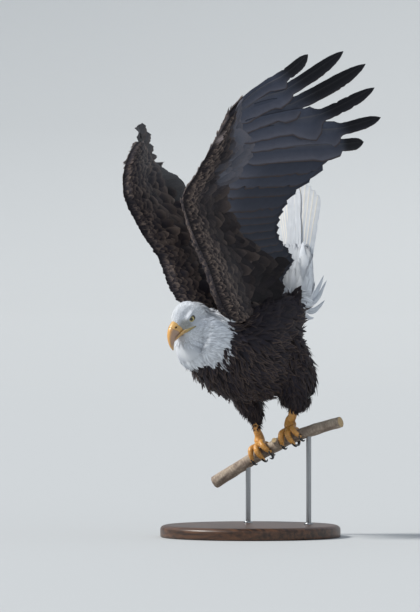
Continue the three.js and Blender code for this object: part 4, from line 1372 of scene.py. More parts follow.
# how far back the small feathers reach at each station, as a share of the chord
UNDER_COVER = [1.0, 0.95, 0.84, 0.68, 0.44, 0.4, 0.38, 0.36, 0.34]
UPPER_COVER = [0.9, 0.82, 0.72, 0.62, 0.56, 0.52, 0.5, 0.46, 0.42]


def covert_length(place):
    """Millimetres of a covert whose tip is at a place behind the front edge, in millimetres."""
    return np.clip(8 + 0.4 * place, 8, 56)


def covert_rows():
    """Rows of coverts, front to back, each by its tips' place as a share of the cover."""
    rows, place = [], 0.02
    while place < 1:
        rows.append(place)
        place += 0.3 * covert_length(place * COVER_DEPTH) / COVER_DEPTH
    return rows + [1.0]


def coverts(side, face, seed):
    """All small feathers of one face of a wing: scaly at the front edge, long at the back."""
    wing = WINGS[side]
    cover = UPPER_COVER if face > 0 else UNDER_COVER
    draw = np.random.default_rng(seed)
    starts, shares = [], []
    for place in covert_rows():
        count = int(COVER_SPAN / (0.42 * covert_length(place * COVER_DEPTH * 0.7)))
        s = np.linspace(0.05, HAND_TIP - 0.02, count) + draw.normal(0, 0.35, count) * HAND_TIP / count
        starts.append(np.clip(s, 0, HAND_TIP))
        shares.append(np.full(count, place))
    s, share = np.concatenate(starts), np.concatenate(shares)
    chord = np.linalg.norm(through(wing["end"], s) - through(wing["lead"], s), axis=-1)
    length = covert_length(share * through(cover, s) * chord) * draw.normal(1, 0.14, len(s))
    tip = share * through(cover, s) * draw.normal(1, 0.03, len(s))
    root = np.maximum(tip - length / chord, -NOSE)
    length = (tip - root) * chord
    middle, dorsal, half, pace = wing_frame(wing, s, root)
    outside = ~in_body(from_perch(middle + dorsal * (half * face)[:, None]))
    s, share, length, tip, root, pace = kept((s, share, length, tip, root, pace), outside)

    count, rows, columns = len(s), 6, 5
    t, a = toward_tip(rows), np.linspace(-1, 1, columns)
    width = length * mix(0.38, 0.34, share) + 0.8
    shape = outline(t, 2.6)
    ragged = 1 + 0.09 * draw.normal(0, 1, (count, rows, columns)) * t[None, :, None]
    wide = width[:, None, None] * shape[None, :, None] * a * ragged
    drift = draw.normal(mix(0.0, 0.1, ease((s - 3) / 3)), 0.05, count)
    station = s[:, None, None] + drift[:, None, None] * t[None, :, None] + wide / pace[:, None, None]
    chordwise = root[:, None, None] + ((tip - root)[:, None] * t)[..., None] + 0 * station
    ruffle = tuft_lift(side, face, s, share) * np.maximum(draw.normal(1, 0.5, count), 0)
    lift = -0.6 + (0.6 + draw.gamma(2.0, 0.8, count)[:, None] + 0.02 * length[:, None]) * (1 - (1 - t) ** 2)
    lift = lift + ruffle[:, None] * t ** 1.6
    lift = lift[..., None] - 0.16 * np.abs(wide) * np.abs(a)
    inside = np.clip(station, 0, HAND_TIP)
    middle, dorsal, half, _ = wing_frame(wing, inside, chordwise)
    beyond = (PAST_TIP * np.tanh((station - inside) / PAST_TIP))[..., None]
    ahead = np.subtract(wing["lead"][HAND_TIP], wing["lead"][HAND_TIP - 1])
    grid = from_perch(middle + beyond * ahead + dorsal * (face * (half + lift))[..., None])
    thick = thinned(np.minimum(0.03 * length, 0.8) * MM, t, a, 0.6)
    tint, edge = covert_colours(side, face, s, share, draw)
    # painted shade: darker toward each root, and a darker copy of the colour on the underside
    colour = feather_shades(tint, edge, t, a, root=0.6, sides=0.3, tip=0.9, tip_from=0.5)
    home = on_skin(grid[:, 0, 2])[2]
    return vane_part(grid, dorsal * face, thick, colour, colour * 0.8, home, flip=wing["way"] * face < 0)


def tuft_lift(side, face, s, share):
    """Millimetres by which the wind and the bend of the wing lift the tips."""
    if face < 0:
        return 9 * ease(share * 1.6) * ease(1 - (s - 3.0) / 1.8)
    band = np.exp(-((s - 2.6 - 1.2 * (share - 0.3)) / 0.42) ** 2) * ease(share / 0.3)
    return band * (13 if side == "right" else 7)


GREY_COVERT = linear("#53555f")
UNDER_BROWN = linear("#242024")
SCALE_EDGE = linear("#84746a")
PINK_EDGE = linear("#a89a98")


def covert_colours(side, face, s, share, draw):
    """Dark feathers with pale rims, palest on the scaly front edge; greyer under the hand; under the arm,
    darker near the body as painted shade.
    """
    count = len(s)
    vary = draw.normal(1, 0.14, (count, 1))
    if face > 0:
        tint = BROWN * vary
        edge = mix(tint, SCALE_EDGE, np.clip(draw.normal(0.55, 0.2, (count, 1)), 0, 1))
        return tint, edge
    front = (1 - ease((share - 0.08) / 0.25))[:, None]
    hand = (ease((s - 4.1) / 0.8) * ease((share - 0.45) / 0.3))[:, None]
    # painted shade under the arm: darker near the body, behind the front rows, with their pale rims mostly
    # taken away
    deep = (ease((share - 0.45) / 0.3) * (1 - ease((s - 1.5) / 1.2)))[:, None]
    tint = mix(UNDER_BROWN, GREY_COVERT, hand) * vary * (1 - 0.4 * deep)
    pale = np.clip(draw.normal(0.14, 0.12, (count, 1)) + front * draw.uniform(0.1, 1.1, (count, 1)), 0, 1)
    edge = mix(mix(tint, SCALE_EDGE, pale * (1 - 0.8 * deep)), mix(tint, PINK_EDGE, 0.12), hand)
    bare = (np.exp(-((s - 6.9) / 0.22) ** 2) * (share < 0.1))[:, None] * (side == "left")
    return mix(tint, PINK_EDGE, bare * 0.7), mix(edge, PINK_EDGE, bare)


# ---- flight feathers ----

BLADE_ROOT = 0.78  # where the blades start, as a share of the arm's depth
SHEET_ROWS, BASE_ROWS, FINGER_ROWS = 30, 13, 30
FINGER_WIDE = [34, 29, 31, 36, 35, 29]  # width of each finger half way along, innermost first
FINGER_REACH = 0.175  # stations on each side of a finger's own, at its start
FINGER_LEAST = 30  # least width of a finger where it leaves the wing
FINGER_TIP = {"left": 0.05, "right": 0.45}  # bluntness of the tips, as a share of their width
FINGER_ROLL = {"left": 0.0, "right": math.radians(-50)}  # the air turns the free tips about their shafts
BLADE_FULL, BLADE_HAND = 60, 26  # width of an outer primary in the wing and at its root
ACROSS = np.array([-1, -0.86, -0.6, -0.3, -0.07, 0, 0.09, 0.35, 0.68, 0.88, 1])
INNER_SHARE, OUTER_SHARE = 0.62, 0.38  # shares of a vane's width behind and before its shaft
SLATE = linear("#434856")
SLATE_DEEP = linear("#343944")
SLATE_SHADED = SLATE_DEEP * 0.6  # painted shade: the right wing's slate, darkened as if it lay in shade
SLATE_EDGE = linear("#75737c")
DARK_TIP = linear("#0f1016")
UPPER_BLADE = linear("#1d1a1e")
SHAFT_PALE = linear("#5a585a")
SHAFT_DARK = linear("#2a2423")


def blade_thick(t, radius):
    """Thickness across a blade: a round shaft in a thin vane."""
    shaft = np.clip(1 - np.abs(ACROSS) / 0.09, 0, 1)
    web = 0.45 * (1 - np.abs(ACROSS)) ** 0.3
    return web + 2 * radius * np.sqrt(shaft) * (1 - 0.85 * t)[..., None]


def blade_colours(t, count, draw, under, under_tip, upper, pale):
    """Tints of a blade's top and underside, with paler edge lines and a pale shaft beneath."""
    shaft = np.clip(1 - np.abs(ACROSS) / 0.1, 0, 1)[:, None]
    inner = (np.clip(-ACROSS, 0, 1) ** 2.5)[:, None]
    vary = draw.normal(1, 0.07, (count, 1, 1, 1))
    dark = ease((t - 0.2) / 0.35)[..., None, None]
    beneath = mix(under, under_tip, dark) * vary
    beneath = mix(beneath, SLATE_EDGE, inner * pale * (1 - 0.8 * dark))
    beneath = mix(beneath, SHAFT_PALE, shaft * 0.7 * (1 - 0.8 * dark))
    above = mix(np.broadcast_to(upper, beneath.shape) * vary, SHAFT_DARK, shaft)
    above = mix(above, BROWN_EDGE, inner * pale * 0.5)
    return beneath, above


def notched_edges(count, rows, draw):
    """Small splits along both edges of a vane, as shares of its width."""
    ragged = 1 + 0.02 * draw.normal(0, 1, (count, rows, len(ACROSS)))
    split = (draw.random((count, rows, 1)) < 0.07) * draw.uniform(0.05, 0.16, (count, rows, 1))
    return ragged - split * np.clip(np.abs(ACROSS) - 0.8, 0, 1) / 0.2


def blade_home(count, first, total):
    return np.column_stack([(first + np.arange(count) + 0.5) / total, np.full(count, 0.5)])


def blade_widths(wing, stations):
    """Vane widths, in millimetres, that overlap their neighbours all the way to the wing's end."""
    half_gap = 0.5 * np.gradient(stations)
    apart = np.linalg.norm(
        through(wing["end"], stations + half_gap) - through(wing["end"], stations - half_gap), axis=-1)
    return np.clip(2.1 * apart, 44, 84)


def sheet_blades(side, stations, first, total, seed):
    """Flight feathers that lie in the wing's own surface, overlapped like louvres."""
    wing = WINGS[side]
    draw = np.random.default_rng(seed)
    count, rows = len(stations), SHEET_ROWS
    t = np.broadcast_to(toward_tip(rows, 1.3), (count, rows))
    shape = (0.55 + 0.45 * ease(t / 0.35)) * (1 - np.clip((t - 0.91) / 0.09, 0, 1) ** 2.6) ** 0.5
    shape = np.maximum(shape, 0.05) * blade_widths(wing, stations)[:, None]
    wide = np.where(ACROSS < 0, INNER_SHARE, OUTER_SHARE) * ACROSS * shape[..., None]
    wide = wide * notched_edges(count, rows, draw)
    root = through(ARM_SHARE, stations) * BLADE_ROOT
    reach = 1 + draw.normal(0, 0.0025, count) - root
    c = root[:, None, None] + (reach[:, None] * t)[..., None] * (1 - 0.035 * ACROSS ** 2)
    pace = wing_frame(wing, stations[:, None] + 0 * t, c[..., 5])[3]
    bend = 0.12 * (t - 1) * t * 2
    s = stations[:, None, None] + bend[..., None] + wide / pace[..., None]
    middle, dorsal, _, _ = wing_frame(wing, np.clip(s, 0.0, HAND_TIP), c)
    offset = ACROSS * 1.6 - 0.012 * np.abs(wide)
    grid = from_perch(middle + dorsal * offset[..., None])
    thick = blade_thick(t, 1.0) * MM
    slate = mix(SLATE_DEEP, SLATE, ease((stations - 2.2) / 2)[:, None, None, None])
    # painted shade: the right wing's flight feathers take the darkened slate
    if side == "right":
        slate = SLATE_SHADED + 0 * slate
    under, above = blade_colours(t, count, draw, slate, mix(slate, DARK_TIP, 0.35), UPPER_BLADE, 0.7)
    return blade_part(wing, grid, dorsal, thick, above, under, blade_home(count, first, total), total)


def blade_part(wing, grid, dorsal, thick, above, under, home, total):
    return vane_part(grid, dorsal, thick, above, under, home, flip=wing["way"] < 0,
                     patch=(0.9 / total, 0.96))


def finger_blade(side, number, first, total, seed):
    """One of the six outer primaries: in the sheet to its end, then narrowed to a free finger."""
    wing = WINGS[side]
    draw = np.random.default_rng(seed)
    station = mix(WRIST, HAND_TIP, (number - 0.5) / PRIMARIES)
    tip = np.array(wing["fingers"][number - FIRST_FINGER], float)

    def at(step, c):
        return wing_point(wing, np.asarray(station + step), np.asarray(float(c)))

    start = at(0, 1)
    out = unit(start - at(0, 0.9))
    span = at(FINGER_REACH, 1) - at(-FINGER_REACH, 1)
    finger_side, finger_width = unit(span), max(np.linalg.norm(span), FINGER_LEAST)
    length = np.linalg.norm(tip - start)

    root = float(through(ARM_SHARE, np.array(float(station)))) * BLADE_ROOT
    base = np.linspace(root, 1, BASE_ROWS, endpoint=False)
    before, inner, after = (
        wing_point(wing, np.full(BASE_ROWS, station + step), base) for step in (-0.1, 0, 0.1)
    )
    t = toward_tip(FINGER_ROWS, 1.25)
    straight, bent = mix(start, tip, t[:, None]), start + out * (length * t)[:, None]
    outer = mix(straight, bent, 0.3 * (1 - t)[:, None])
    path = np.vstack([inner, outer])
    blend = np.concatenate([ease((base - 0.8) / 0.2), np.ones(len(t))])[:, None]
    sideways = unit(np.vstack([after - before, np.tile(finger_side, (FINGER_ROWS, 1))]))
    sideways = unit(mix(sideways, finger_side, blend))
    way = unit(np.gradient(path, axis=0))
    dorsal = unit(np.cross(sideways, way)) * wing["way"]
    sideways = unit(np.cross(way, dorsal)) * wing["way"]

    free_width = min(FINGER_WIDE[number - FIRST_FINGER], finger_width)
    tip_share = np.clip((t - 0.5) / 0.5, 0, 1)
    free = mix(finger_width, free_width, ease(t / 0.16))
    free = free * np.maximum((1 - tip_share ** 2.2) ** 0.75, FINGER_TIP[side])
    full = BLADE_FULL if number < PRIMARIES else finger_width
    closed = mix(BLADE_HAND, full, ease((base - root) / 0.2))
    closed = closed * mix(1, finger_width / full, ease((base - 0.8) / 0.2))
    shape = np.concatenate([closed, free])[None]
    notch = np.concatenate([ease((base - 0.8) / 0.15), 1 - ease((t - 0.015) / 0.06)])[None, :, None]
    inner_share = INNER_SHARE * (1 + 0.6 * notch)
    slim = np.concatenate([0.65 + 0.35 * ease((base - 0.7) / 0.3), np.ones(len(t))])[None, :, None]
    outer_share = OUTER_SHARE * (slim if number == PRIMARIES else 1)
    wide = np.where(ACROSS < 0, inner_share, outer_share) * ACROSS * shape[..., None]
    shift = 0.12 * shape[..., None] * (FIRST_FINGER < number < PRIMARIES)
    wide = wide * notched_edges(1, len(path), draw) + shift
    roll = FINGER_ROLL[side] * np.concatenate([0 * base, ease(t / 0.5)])[:, None]
    sideways, dorsal = (sideways * np.cos(roll) + dorsal * np.sin(roll),
                        dorsal * np.cos(roll) - sideways * np.sin(roll))
    share = np.concatenate([(base - root) * 0.25, 0.3 + 0.7 * t])[None]
    offset = ACROSS * 1.5 - 0.05 * np.abs(wide)
    grid = path[None, :, None] + sideways[None, :, None] * wide[..., None]
    grid = from_perch(grid + dorsal[None, :, None] * offset[..., None])
    thick = blade_thick(share, 1.4) * MM
    # painted shade: the right wing's fingers take the darkened slate
    slate = SLATE if side == "left" else SLATE_SHADED
    under, above = blade_colours(share, 1, draw, slate, DARK_TIP, UPPER_BLADE, 0.6)
    return blade_part(wing, grid, dorsal[None, :, None], thick, above, under,
                      blade_home(1, first, total), total)


def flight_feathers(side, seed):
    stations = np.concatenate([
        WRIST * (np.arange(INNER_FEATHERS) + 0.5) / INNER_FEATHERS,
        mix(WRIST, HAND_TIP, (np.arange(1, FIRST_FINGER) - 0.5) / PRIMARIES),
    ])
    fingers = range(FIRST_FINGER, PRIMARIES + 1)
    total = len(stations) + len(fingers)
    parts = [sheet_blades(side, stations, 0, total, seed)]
    for i, number in enumerate(fingers):
        parts.append(finger_blade(side, number, len(stations) + i, total, seed + number))
    stands_for = [f"secondaries_{side}", f"primaries_{side}"] + [f"primary_{n}_{side}" for n in fingers]
    build(f"flight_feathers_{side}", parts, "flight_feather", stands_for)


def wings():
    for side, seed in (("left", 100), ("right", 200)):
        flight_feathers(side, seed)
        for face, name in ((1, "upper"), (-1, "under")):
            build(f"{name}_coverts_{side}", [coverts(side, face, seed + 40 + face)],
                  "contour_feather")


# ---- tail ----

TAIL_ROWS = 26
TAIL_FROM, TAIL_WIDE = 14, 36  # first row behind the root, and a feather's width, in mm
SHAFT_WHITE = linear("#efe9dc")


def tail_feathers():
    """Twelve broad feathers in a fan, the middle pair on top, worn a little at their ends."""
    draw = np.random.default_rng(71)
    count, rows = TAIL_FEATHERS, TAIL_ROWS
    spot = 2 * (np.arange(count) + 0.5) / count - 1
    t = np.broadcast_to(toward_tip(rows, 1.3), (count, rows))
    reach = mix(TAIL_FROM, TAIL_LENGTH - TAIL_ROUND * (spot ** 2)[:, None], t)
    angle = (spot * TAIL_SPREAD)[:, None]
    path = np.stack([
        TAIL_ROOT[0] + spot[:, None] * TAIL_ROOT_HALF + np.sin(angle) * reach,
        TAIL_ROOT[1] + 0.01 * reach + (TAIL_CUP * spot ** 2 - 3.5 * (1 - np.abs(spot)))[:, None],
        TAIL_ROOT[2] + np.cos(angle) * reach,
    ], -1)
    shape = (0.6 + 0.4 * ease(t / 0.5)) * (1 - np.clip((t - 0.8) / 0.2, 0, 1) ** 2.6) ** 0.5
    shape = np.maximum(shape, 0.06) * TAIL_WIDE
    outward = np.sign(spot)[:, None, None]
    share = np.where(ACROSS * outward > 0, 0.3, 0.7)
    wide = share * ACROSS * shape[..., None] * notched_edges(count, rows, draw)
    side = np.stack([np.cos(angle), 0 * angle, -np.sin(angle)], -1)[:, :, None]
    dorsal = np.array([0.0, -1.0, 0.0])
    slope = 2 * TAIL_CUP * spot[:, None] / (TAIL_ROOT_HALF + math.sin(TAIL_SPREAD) * reach)
    offset = -0.6 * ACROSS * outward - 0.02 * np.abs(wide) - slope[..., None] * wide
    grid = from_perch(path[:, :, None] + side * wide[..., None] + dorsal * offset[..., None])
    thick = blade_thick(t, 0.9) * MM
    shaft = np.clip(1 - np.abs(ACROSS) / 0.1, 0, 1)[:, None]
    # painted shade: greyer toward each vane's edges, where the feathers overlap
    colour = mix(WHITE, WHITE_SHADE, 0.15 + 0.3 * np.abs(ACROSS)[:, None] ** 2)
    colour = mix(colour * draw.normal(1, 0.03, (count, rows, 1, 1)), SHAFT_WHITE, shaft)
    # painted shade: a slightly darker copy of the colour on the underside
    build("tail_feathers", [vane_part(
        grid, dorsal * np.ones_like(grid), thick, colour, colour * 0.95, blade_home(count, 0, count),
        patch=(0.9 / count, 0.96),
    )], "white_feather", ["tail"])


# ---- bill and eyes ----

UPPER_BILL = [
    [0, -16, 4], [0, -33, 5.5], [0, -49, 6], [0, -61, 2], [0, -69.5, -5.5], [0, -75.5, -15],
    [0, -78.5, -25],
]
UPPER_WIDE = [15, 14.5, 12, 9.5, 7, 4, 1.2]
UPPER_HIGH = [16, 16.5, 13.2, 8.6, 5.8, 3.8, 1.2]
UPPER_LOW = [13.5, 14, 14, 10.5, 7.2, 4.6, 1.4]
LOWER_BILL = [[0, -14, -15], [0, -34, -12], [0, -52, -10], [0, -65, -9], [0, -70, -8.6]]
LOWER_WIDE = [13.5, 11, 8.5, 5, 1.6]
LOWER_HIGH = [4.5, 4.5, 4, 3, 1.2]
LOWER_LOW = [5.5, 5, 4.2, 2.8, 1.4]
# half of a bill's section from ridge to underside, as shares of its half width and half height
UPPER_SECTION = [
    [0, 1], [0.32, 0.94], [0.6, 0.75], [0.83, 0.42], [0.96, 0.05], [1, -0.3], [0.97, -0.65],
    [0.9, -1], [0.78, -0.98], [0.5, -0.82], [0, -0.72],
]
LOWER_SECTION = [
    [0, 0.6], [0.5, 0.7], [0.85, 1], [0.97, 0.85], [1, 0.3], [0.92, -0.3], [0.7, -0.75],
    [0.36, -0.97], [0, -1],
]
BILL_YELLOW = linear("#d09b54")
# BILL_SHADE is painted shade on the bill's sides
BILL_SHADE = linear("#9e8575")
CERE_YELLOW = linear("#cda260")
BILL_TIP = linear("#c49e64")
# painted shadow in the nostrils' dents
NOSTRIL_SHADOW = linear("#1d130c")
NOSTRIL = [-40, 12.5, 3.8, 1.8]  # back, up and half sizes in the head's frame
NOSTRIL_OUT = 3  # its nearest place to the middle plane, in mm
CERE_END = -45.5  # back, in the head's frame


def bill_loft(line, wide, high, low, section, rows, sides):
    """A mandible's rings in the head's frame, from the face to the tip."""
    s = np.linspace(0, len(line) - 1, rows)
    path = through(line, s)
    tangent = unit(np.gradient(path, axis=0))
    up = unit(np.cross((-1.0, 0, 0), tangent))
    half = through(section, np.linspace(0, len(section) - 1, sides // 2 + 1))
    loop = np.vstack([half, half[-2:0:-1] * (-1, 1)])
    rise = np.where(loop[:, 1] > 0, through(high, s)[:, None], through(low, s)[:, None]) * loop[:, 1]
    out = np.array([1.0, 0, 0]) * (through(wide, s)[:, None] * loop[:, 0])[..., None]
    return path[:, None] + out + up[:, None] * rise[..., None], s


def bill():
    """Both mandibles: horn, the softer cere at the base, and the nostrils pressed into it."""
    rings, s = bill_loft(UPPER_BILL, UPPER_WIDE, UPPER_HIGH, UPPER_LOW, UPPER_SECTION, rows=120, sides=80)
    left, back, up = np.moveaxis(rings, -1, 0)
    middle = rings.mean(axis=1, keepdims=True)
    out = unit(rings - middle)
    cere_line = CERE_END + 2.5 * np.cos(up / 5)
    cere = 1 - ease((cere_line - back) / 1.6 + 0.5)
    behind, above = (back - NOSTRIL[0]) / NOSTRIL[2], (up - NOSTRIL[1]) / NOSTRIL[3]
    slanted = np.hypot((back - NOSTRIL[0] + 0.25 * (up - NOSTRIL[1])) / NOSTRIL[2], above)
    outer = np.abs(left) > NOSTRIL_OUT
    hole = (1 - ease((slanted - 0.45) / 0.75)) * outer
    lip = np.exp(-((np.hypot(behind, above) - 1.5) / 0.35) ** 2)
    swell = 0.8 * cere - 3.2 * hole + 0.35 * lip * cere * outer
    grain = 0.12 * wander(rings * (1, 0.4, 1) * MM, 0.006, 15)
    rings = rings + out * (swell + grain * (1 - cere))[..., None]
    # painted shade: the horn greys on its sides, all along but next to the face
    shade = 0.9 * ease((s - 0.3) / 1.2)[:, None, None] * ease(np.abs(out[..., :1]) * 1.5 - 0.3)
    horn = mix(mix(BILL_YELLOW, BILL_SHADE, shade), BILL_TIP, ease((s - 4.4) / 1.4)[:, None, None])
    colour = mix(horn, CERE_YELLOW, cere[..., None])
    # painted shadow in the nostril's dent
    colour = mix(colour, NOSTRIL_SHADOW, hole[..., None])
    colour = colour * (1 - 0.35 * np.exp(-(((cere_line - back) / 0.7) ** 2)))[..., None]
    upper = tube_part(from_head(rings), colour, rings * MM, home=(0.25, 0.5), patch=(0.48, 0.96))
    rings, _ = bill_loft(LOWER_BILL, LOWER_WIDE, LOWER_HIGH, LOWER_LOW, LOWER_SECTION, rows=60, sides=64)
    # painted shade: the lower mandible is greyed toward BILL_SHADE, most near the face
    colour = mix(BILL_YELLOW, BILL_SHADE, 0.25 + 0.3 * ease((rings[..., 1:2] + 60) / 40))
    lower = tube_part(from_head(rings), colour, rings * MM, home=(0.75, 0.5), patch=(0.48, 0.96))
    build("bill", [upper, lower], "bill_horn", ["bill_upper", "bill_lower"])


GAPE = [
    [10, -58, -6.5], [14, -46, -6.5], [21.5, -34, -6.8], [28.6, -27, -8.4], [34.5, -19.5, -10.3],
    [38.4, -11, -13.2],
]
# half heights of the mouth's upper and lower edge, in mm
GAPE_TALL = {1: [0.6, 1.3, 2.6, 2.1, 1.4, 0.6], -1: [0.9, 1.4, 1.9, 1.4, 1, 0.5]}
GAPE_YELLOW = linear("#bf9c63")
GAPE_OLIVE = linear("#857a50")


def gape():
    """Soft yellow edges of the mouth, from the bill's side back to below the eye."""
    parts = []
    s = np.linspace(0, len(GAPE) - 1, 44)
    for i, sign in enumerate(SIDES.values()):
        line = from_head(through(GAPE, s) * (sign, 1, 1))
        spots, normal, _ = on_skin(line)
        outward = HEAD_AXES @ np.array([sign, 0, 0.0])
        hold = (1 - ease((s - 1.4) / 0.8))[:, None]
        normal = unit(mix(normal, outward, hold))
        side = unit(np.cross(np.gradient(line, axis=0), normal)) * sign
        for k, tall in GAPE_TALL.items():
            half = through(tall, s) * MM
            deep = np.minimum(half, 1.9 * MM)
            middle = mix(spots, line, hold) + normal * (1.5 * MM) + side * (k * half * 0.8)[:, None]
            rings = limb_rings(middle, deep, half, half, normal.mean(0), 14)
            dull = mix(GAPE_YELLOW, GAPE_OLIVE, ease((s - 1.2) / 2.2)[:, None, None]) + 0 * rings
            place = (0.125 + 0.25 * (2 * i + (k < 0)), 0.5)
            parts.append(tube_part(rings, dull, rings - middle[:1, None], home=place, patch=(0.2, 0.9)))
    build("gape", parts, "bill_horn")


PUPIL, IRIS = math.radians(17), math.radians(42)
IRIS_YELLOW = linear("#d6c98c")
IRIS_OLIVE = linear("#a39657")
EYE_DARK = linear("#1c1812")
PUPIL_BLACK = linear("#040405")
LID_DARK = linear("#2a241c")


def eye_ways(sign, theta, phi):
    """Directions at an angle theta from one eye's axis and phi about it, in the head's frame."""
    up = unit(np.array([0, 0, 1.0]) - GAZE * GAZE[2])
    front = np.cross(GAZE, up)
    ways = GAZE * np.cos(theta) + np.sin(theta) * (front * np.cos(phi) - up * np.sin(phi))
    return ways if sign > 0 else ways[:, ::-1] * (-1, 1, 1)


def eyes():
    """Eyeballs with a raised clear front: pupil, yellow iris and a dark ring round it, the upper iris
    darkened by a painted shadow of the brow.
    """
    phi = np.linspace(0, 2 * math.pi, 64, endpoint=False)[None, :, None]
    theta = np.radians([
        0.4, 4, 9, 13, 16, 17.5, 19, 21, 24, 28, 33, 37.5, 40, 41.5, 43.5, 48, 60, 78, 100, 130, 179,
    ])[:, None, None]
    centre = np.array([EYE_OFFSET, 0.0, 0.0])
    for side, sign in SIDES.items():
        bulge = 0.9 * np.clip(1 - (theta / IRIS) ** 2, 0, 1)
        rings = centre * (sign, 1, 1) + eye_ways(sign, theta, phi) * (EYE_RADIUS + bulge)
        iris = mix(IRIS_OLIVE, IRIS_YELLOW, ease((theta - PUPIL) / (IRIS - PUPIL) * 1.6))
        dark = ease((theta - math.radians(39)) / math.radians(3))
        colour = mix(iris, EYE_DARK, dark)
        # painted shadow of the brow over the upper part of the eye
        colour = colour * mix(1, 0.4, ease((-np.sin(phi) - 0.1) / 0.6))
        colour = np.where(theta < PUPIL, PUPIL_BLACK, colour)
        colour = np.broadcast_to(colour, rings.shape)
        rays = np.concatenate(np.broadcast_arrays(np.cos(phi), np.sin(phi), theta / 8), -1) * 8 * MM
        build(f"eyeball_{side}", [tube_part(from_head(rings), colour, rays)], "wet_eye",
              [f"eye_{side}"])


def eyelids():
    """Dark-rimmed lids: a rolled edge round the eye's opening that dives under the face's skin."""
    phi = np.linspace(0, 2 * math.pi, 72, endpoint=False)
    tall = np.where(np.sin(phi) < 0, 22, 38)
    edge = 1 / np.sqrt((np.cos(phi) / 48) ** 2 + (np.sin(phi) / tall) ** 2)
    profile = [                                 # degrees from the opening's edge, and height in mm
        (0.0, 0.25), (-0.8, 0.75), (1.0, 1.35), (6, 1.9), (16, 2.3), (30, 1.8), (46, -0.4),
        (40, -1.6), (14, -0.6), (4, 0.05),
    ]
    parts = []
    for i, sign in enumerate(SIDES.values()):
        theta = np.radians([[e + step for e in edge] for step, _ in profile])[..., None]
        lift = np.array([h for _, h in profile])[:, None, None] + EYE_RADIUS
        ways = eye_ways(sign, theta, phi[None, :, None])
        rings = np.array([EYE_OFFSET * sign, 0, 0]) + ways * lift
        # the lid's dark rim is its own skin, widened as painted shade round the eye; the rest is the lores'
        # grey darkened as painted shade
        share = ease(np.array([0, 0, 0, 0.3, 0.8, 1, 1, 1, 0.5, 0]))[:, None, None]
        colour = mix(LID_DARK, LORE_GREY * 0.75, share) + 0 * rings
        parts.append(ring_part(from_head(rings), colour, rings * MM, (0.25 + 0.5 * i, 0.5), (0.46, 0.9)))
    build("eyelids", parts, "bill_horn")


def ring_part(grid, tint, vane, home, patch):
    """A closed body from a grid that joins up both ways, like a tyre."""
    rows, sides = grid.shape[:2]
    quads, u, row = grid_quads(rows, sides, closed=True)
    uv = np.stack([u, row / rows - 0.5], -1)
    return {
        "points": grid.reshape(-1, 3), "tint": tint.reshape(-1, 3), "vane": vane.reshape(-1, 3),
        "faces": [(quads, np.array(home) + uv * patch)],
    }


# ---- scales and claws ----

PLATE_ROWS = np.array([0, 0.35, 0.7, 0.93, 1])  # places along a plate; and at each of them
PLATE_WIDE = np.array([0.9, 1, 1, 0.93, 0.8])  # its width as a share of the whole,
PLATE_LIFT = np.array([-0.5, 0.1, 0.5, 0.62, 0.4])  # its height over the skin in mm
PLATE_SHADE = np.array([0.6, 0.95, 1.05, 1.1, 0.9])  # and its painted shade: darkest where it tucks under the plate before, lightest at its raised end
PLATE_THICK = 0.7
CLAW_BROWN = linear("#2a2320")
CLAW_BLACK = linear("#0b0b0f")


def plate_shares(count, start, end, reach):
    """Shares of a toe's or a shank's length, for each plate and each of its rows."""
    return np.linspace(start, end, count)[:, None] + (PLATE_ROWS - 0.2) * reach


def toe_line(foot, toe, share):
    """Middle line of a toe, the ways out and across, and its radius."""
    path, out, size = foot.toe(toe, share)
    return path, out, unit(np.cross(out, foot.toe(toe, share + 0.01)[0] - path)), size


def shank_line(foot, share):
    """Middle line of a bare shank, the ways out in front and across, and its radius."""
    path, size, _ = foot.tarsus(share)
    way = unit(foot.tarsus(share + 0.01)[0] - foot.tarsus(share - 0.01)[0])
    out = unit(foot.ahead - way * (foot.ahead * way).sum(-1, keepdims=True))
    return path, out, np.cross(out, way), size


def plates(path, out, across, size, sweep, draw):
    """Overlapping horny plates over one side of a tube; sweep is half their width in degrees."""
    a = np.linspace(-1, 1, 9)
    turn = (a * math.radians(sweep))[None, None] * PLATE_WIDE[None, :, None]
    radius = size[..., None] + PLATE_LIFT[None, :, None] - 0.5 * np.abs(a) ** 3
    way = out[:, :, None] * np.cos(turn)[..., None] + across[:, :, None] * np.sin(turn)[..., None]
    grid = from_perch(path[:, :, None] + way * radius[..., None])
    count = len(grid)
    thick = np.full((count, len(PLATE_ROWS), 1), PLATE_THICK * MM) * (1 - np.abs(a) ** 4)
    colour = mix(YELLOW_SKIN, YELLOW_DEEP, np.clip(draw.normal(0.2, 0.15, (count, 1, 1, 1)), 0, 1))
    # painted shade and highlight along each plate, and a darker copy of the colour on the underside
    colour = np.broadcast_to(colour * PLATE_SHADE[None, :, None, None], grid.shape)
    return vane_part(grid, way, thick, colour, colour * 0.7, on_skin(grid[:, 2, len(a) // 2])[2])


def scutes():
    """Plates along the tops of the toes and down the front of each bare shank."""
    for side, foot in FEET.items():
        draw = np.random.default_rng(81)
        share = plate_shares(13, 0.1, 0.98, 0.14)
        parts = [plates(*toe_line(foot, toe, share), 68, draw) for toe in TOES]
        parts.append(plates(*shank_line(foot, plate_shares(9, 0.12, 0.72, 0.12)), 62, draw))
        build(f"scutes_{side}", parts, "scute_horn")


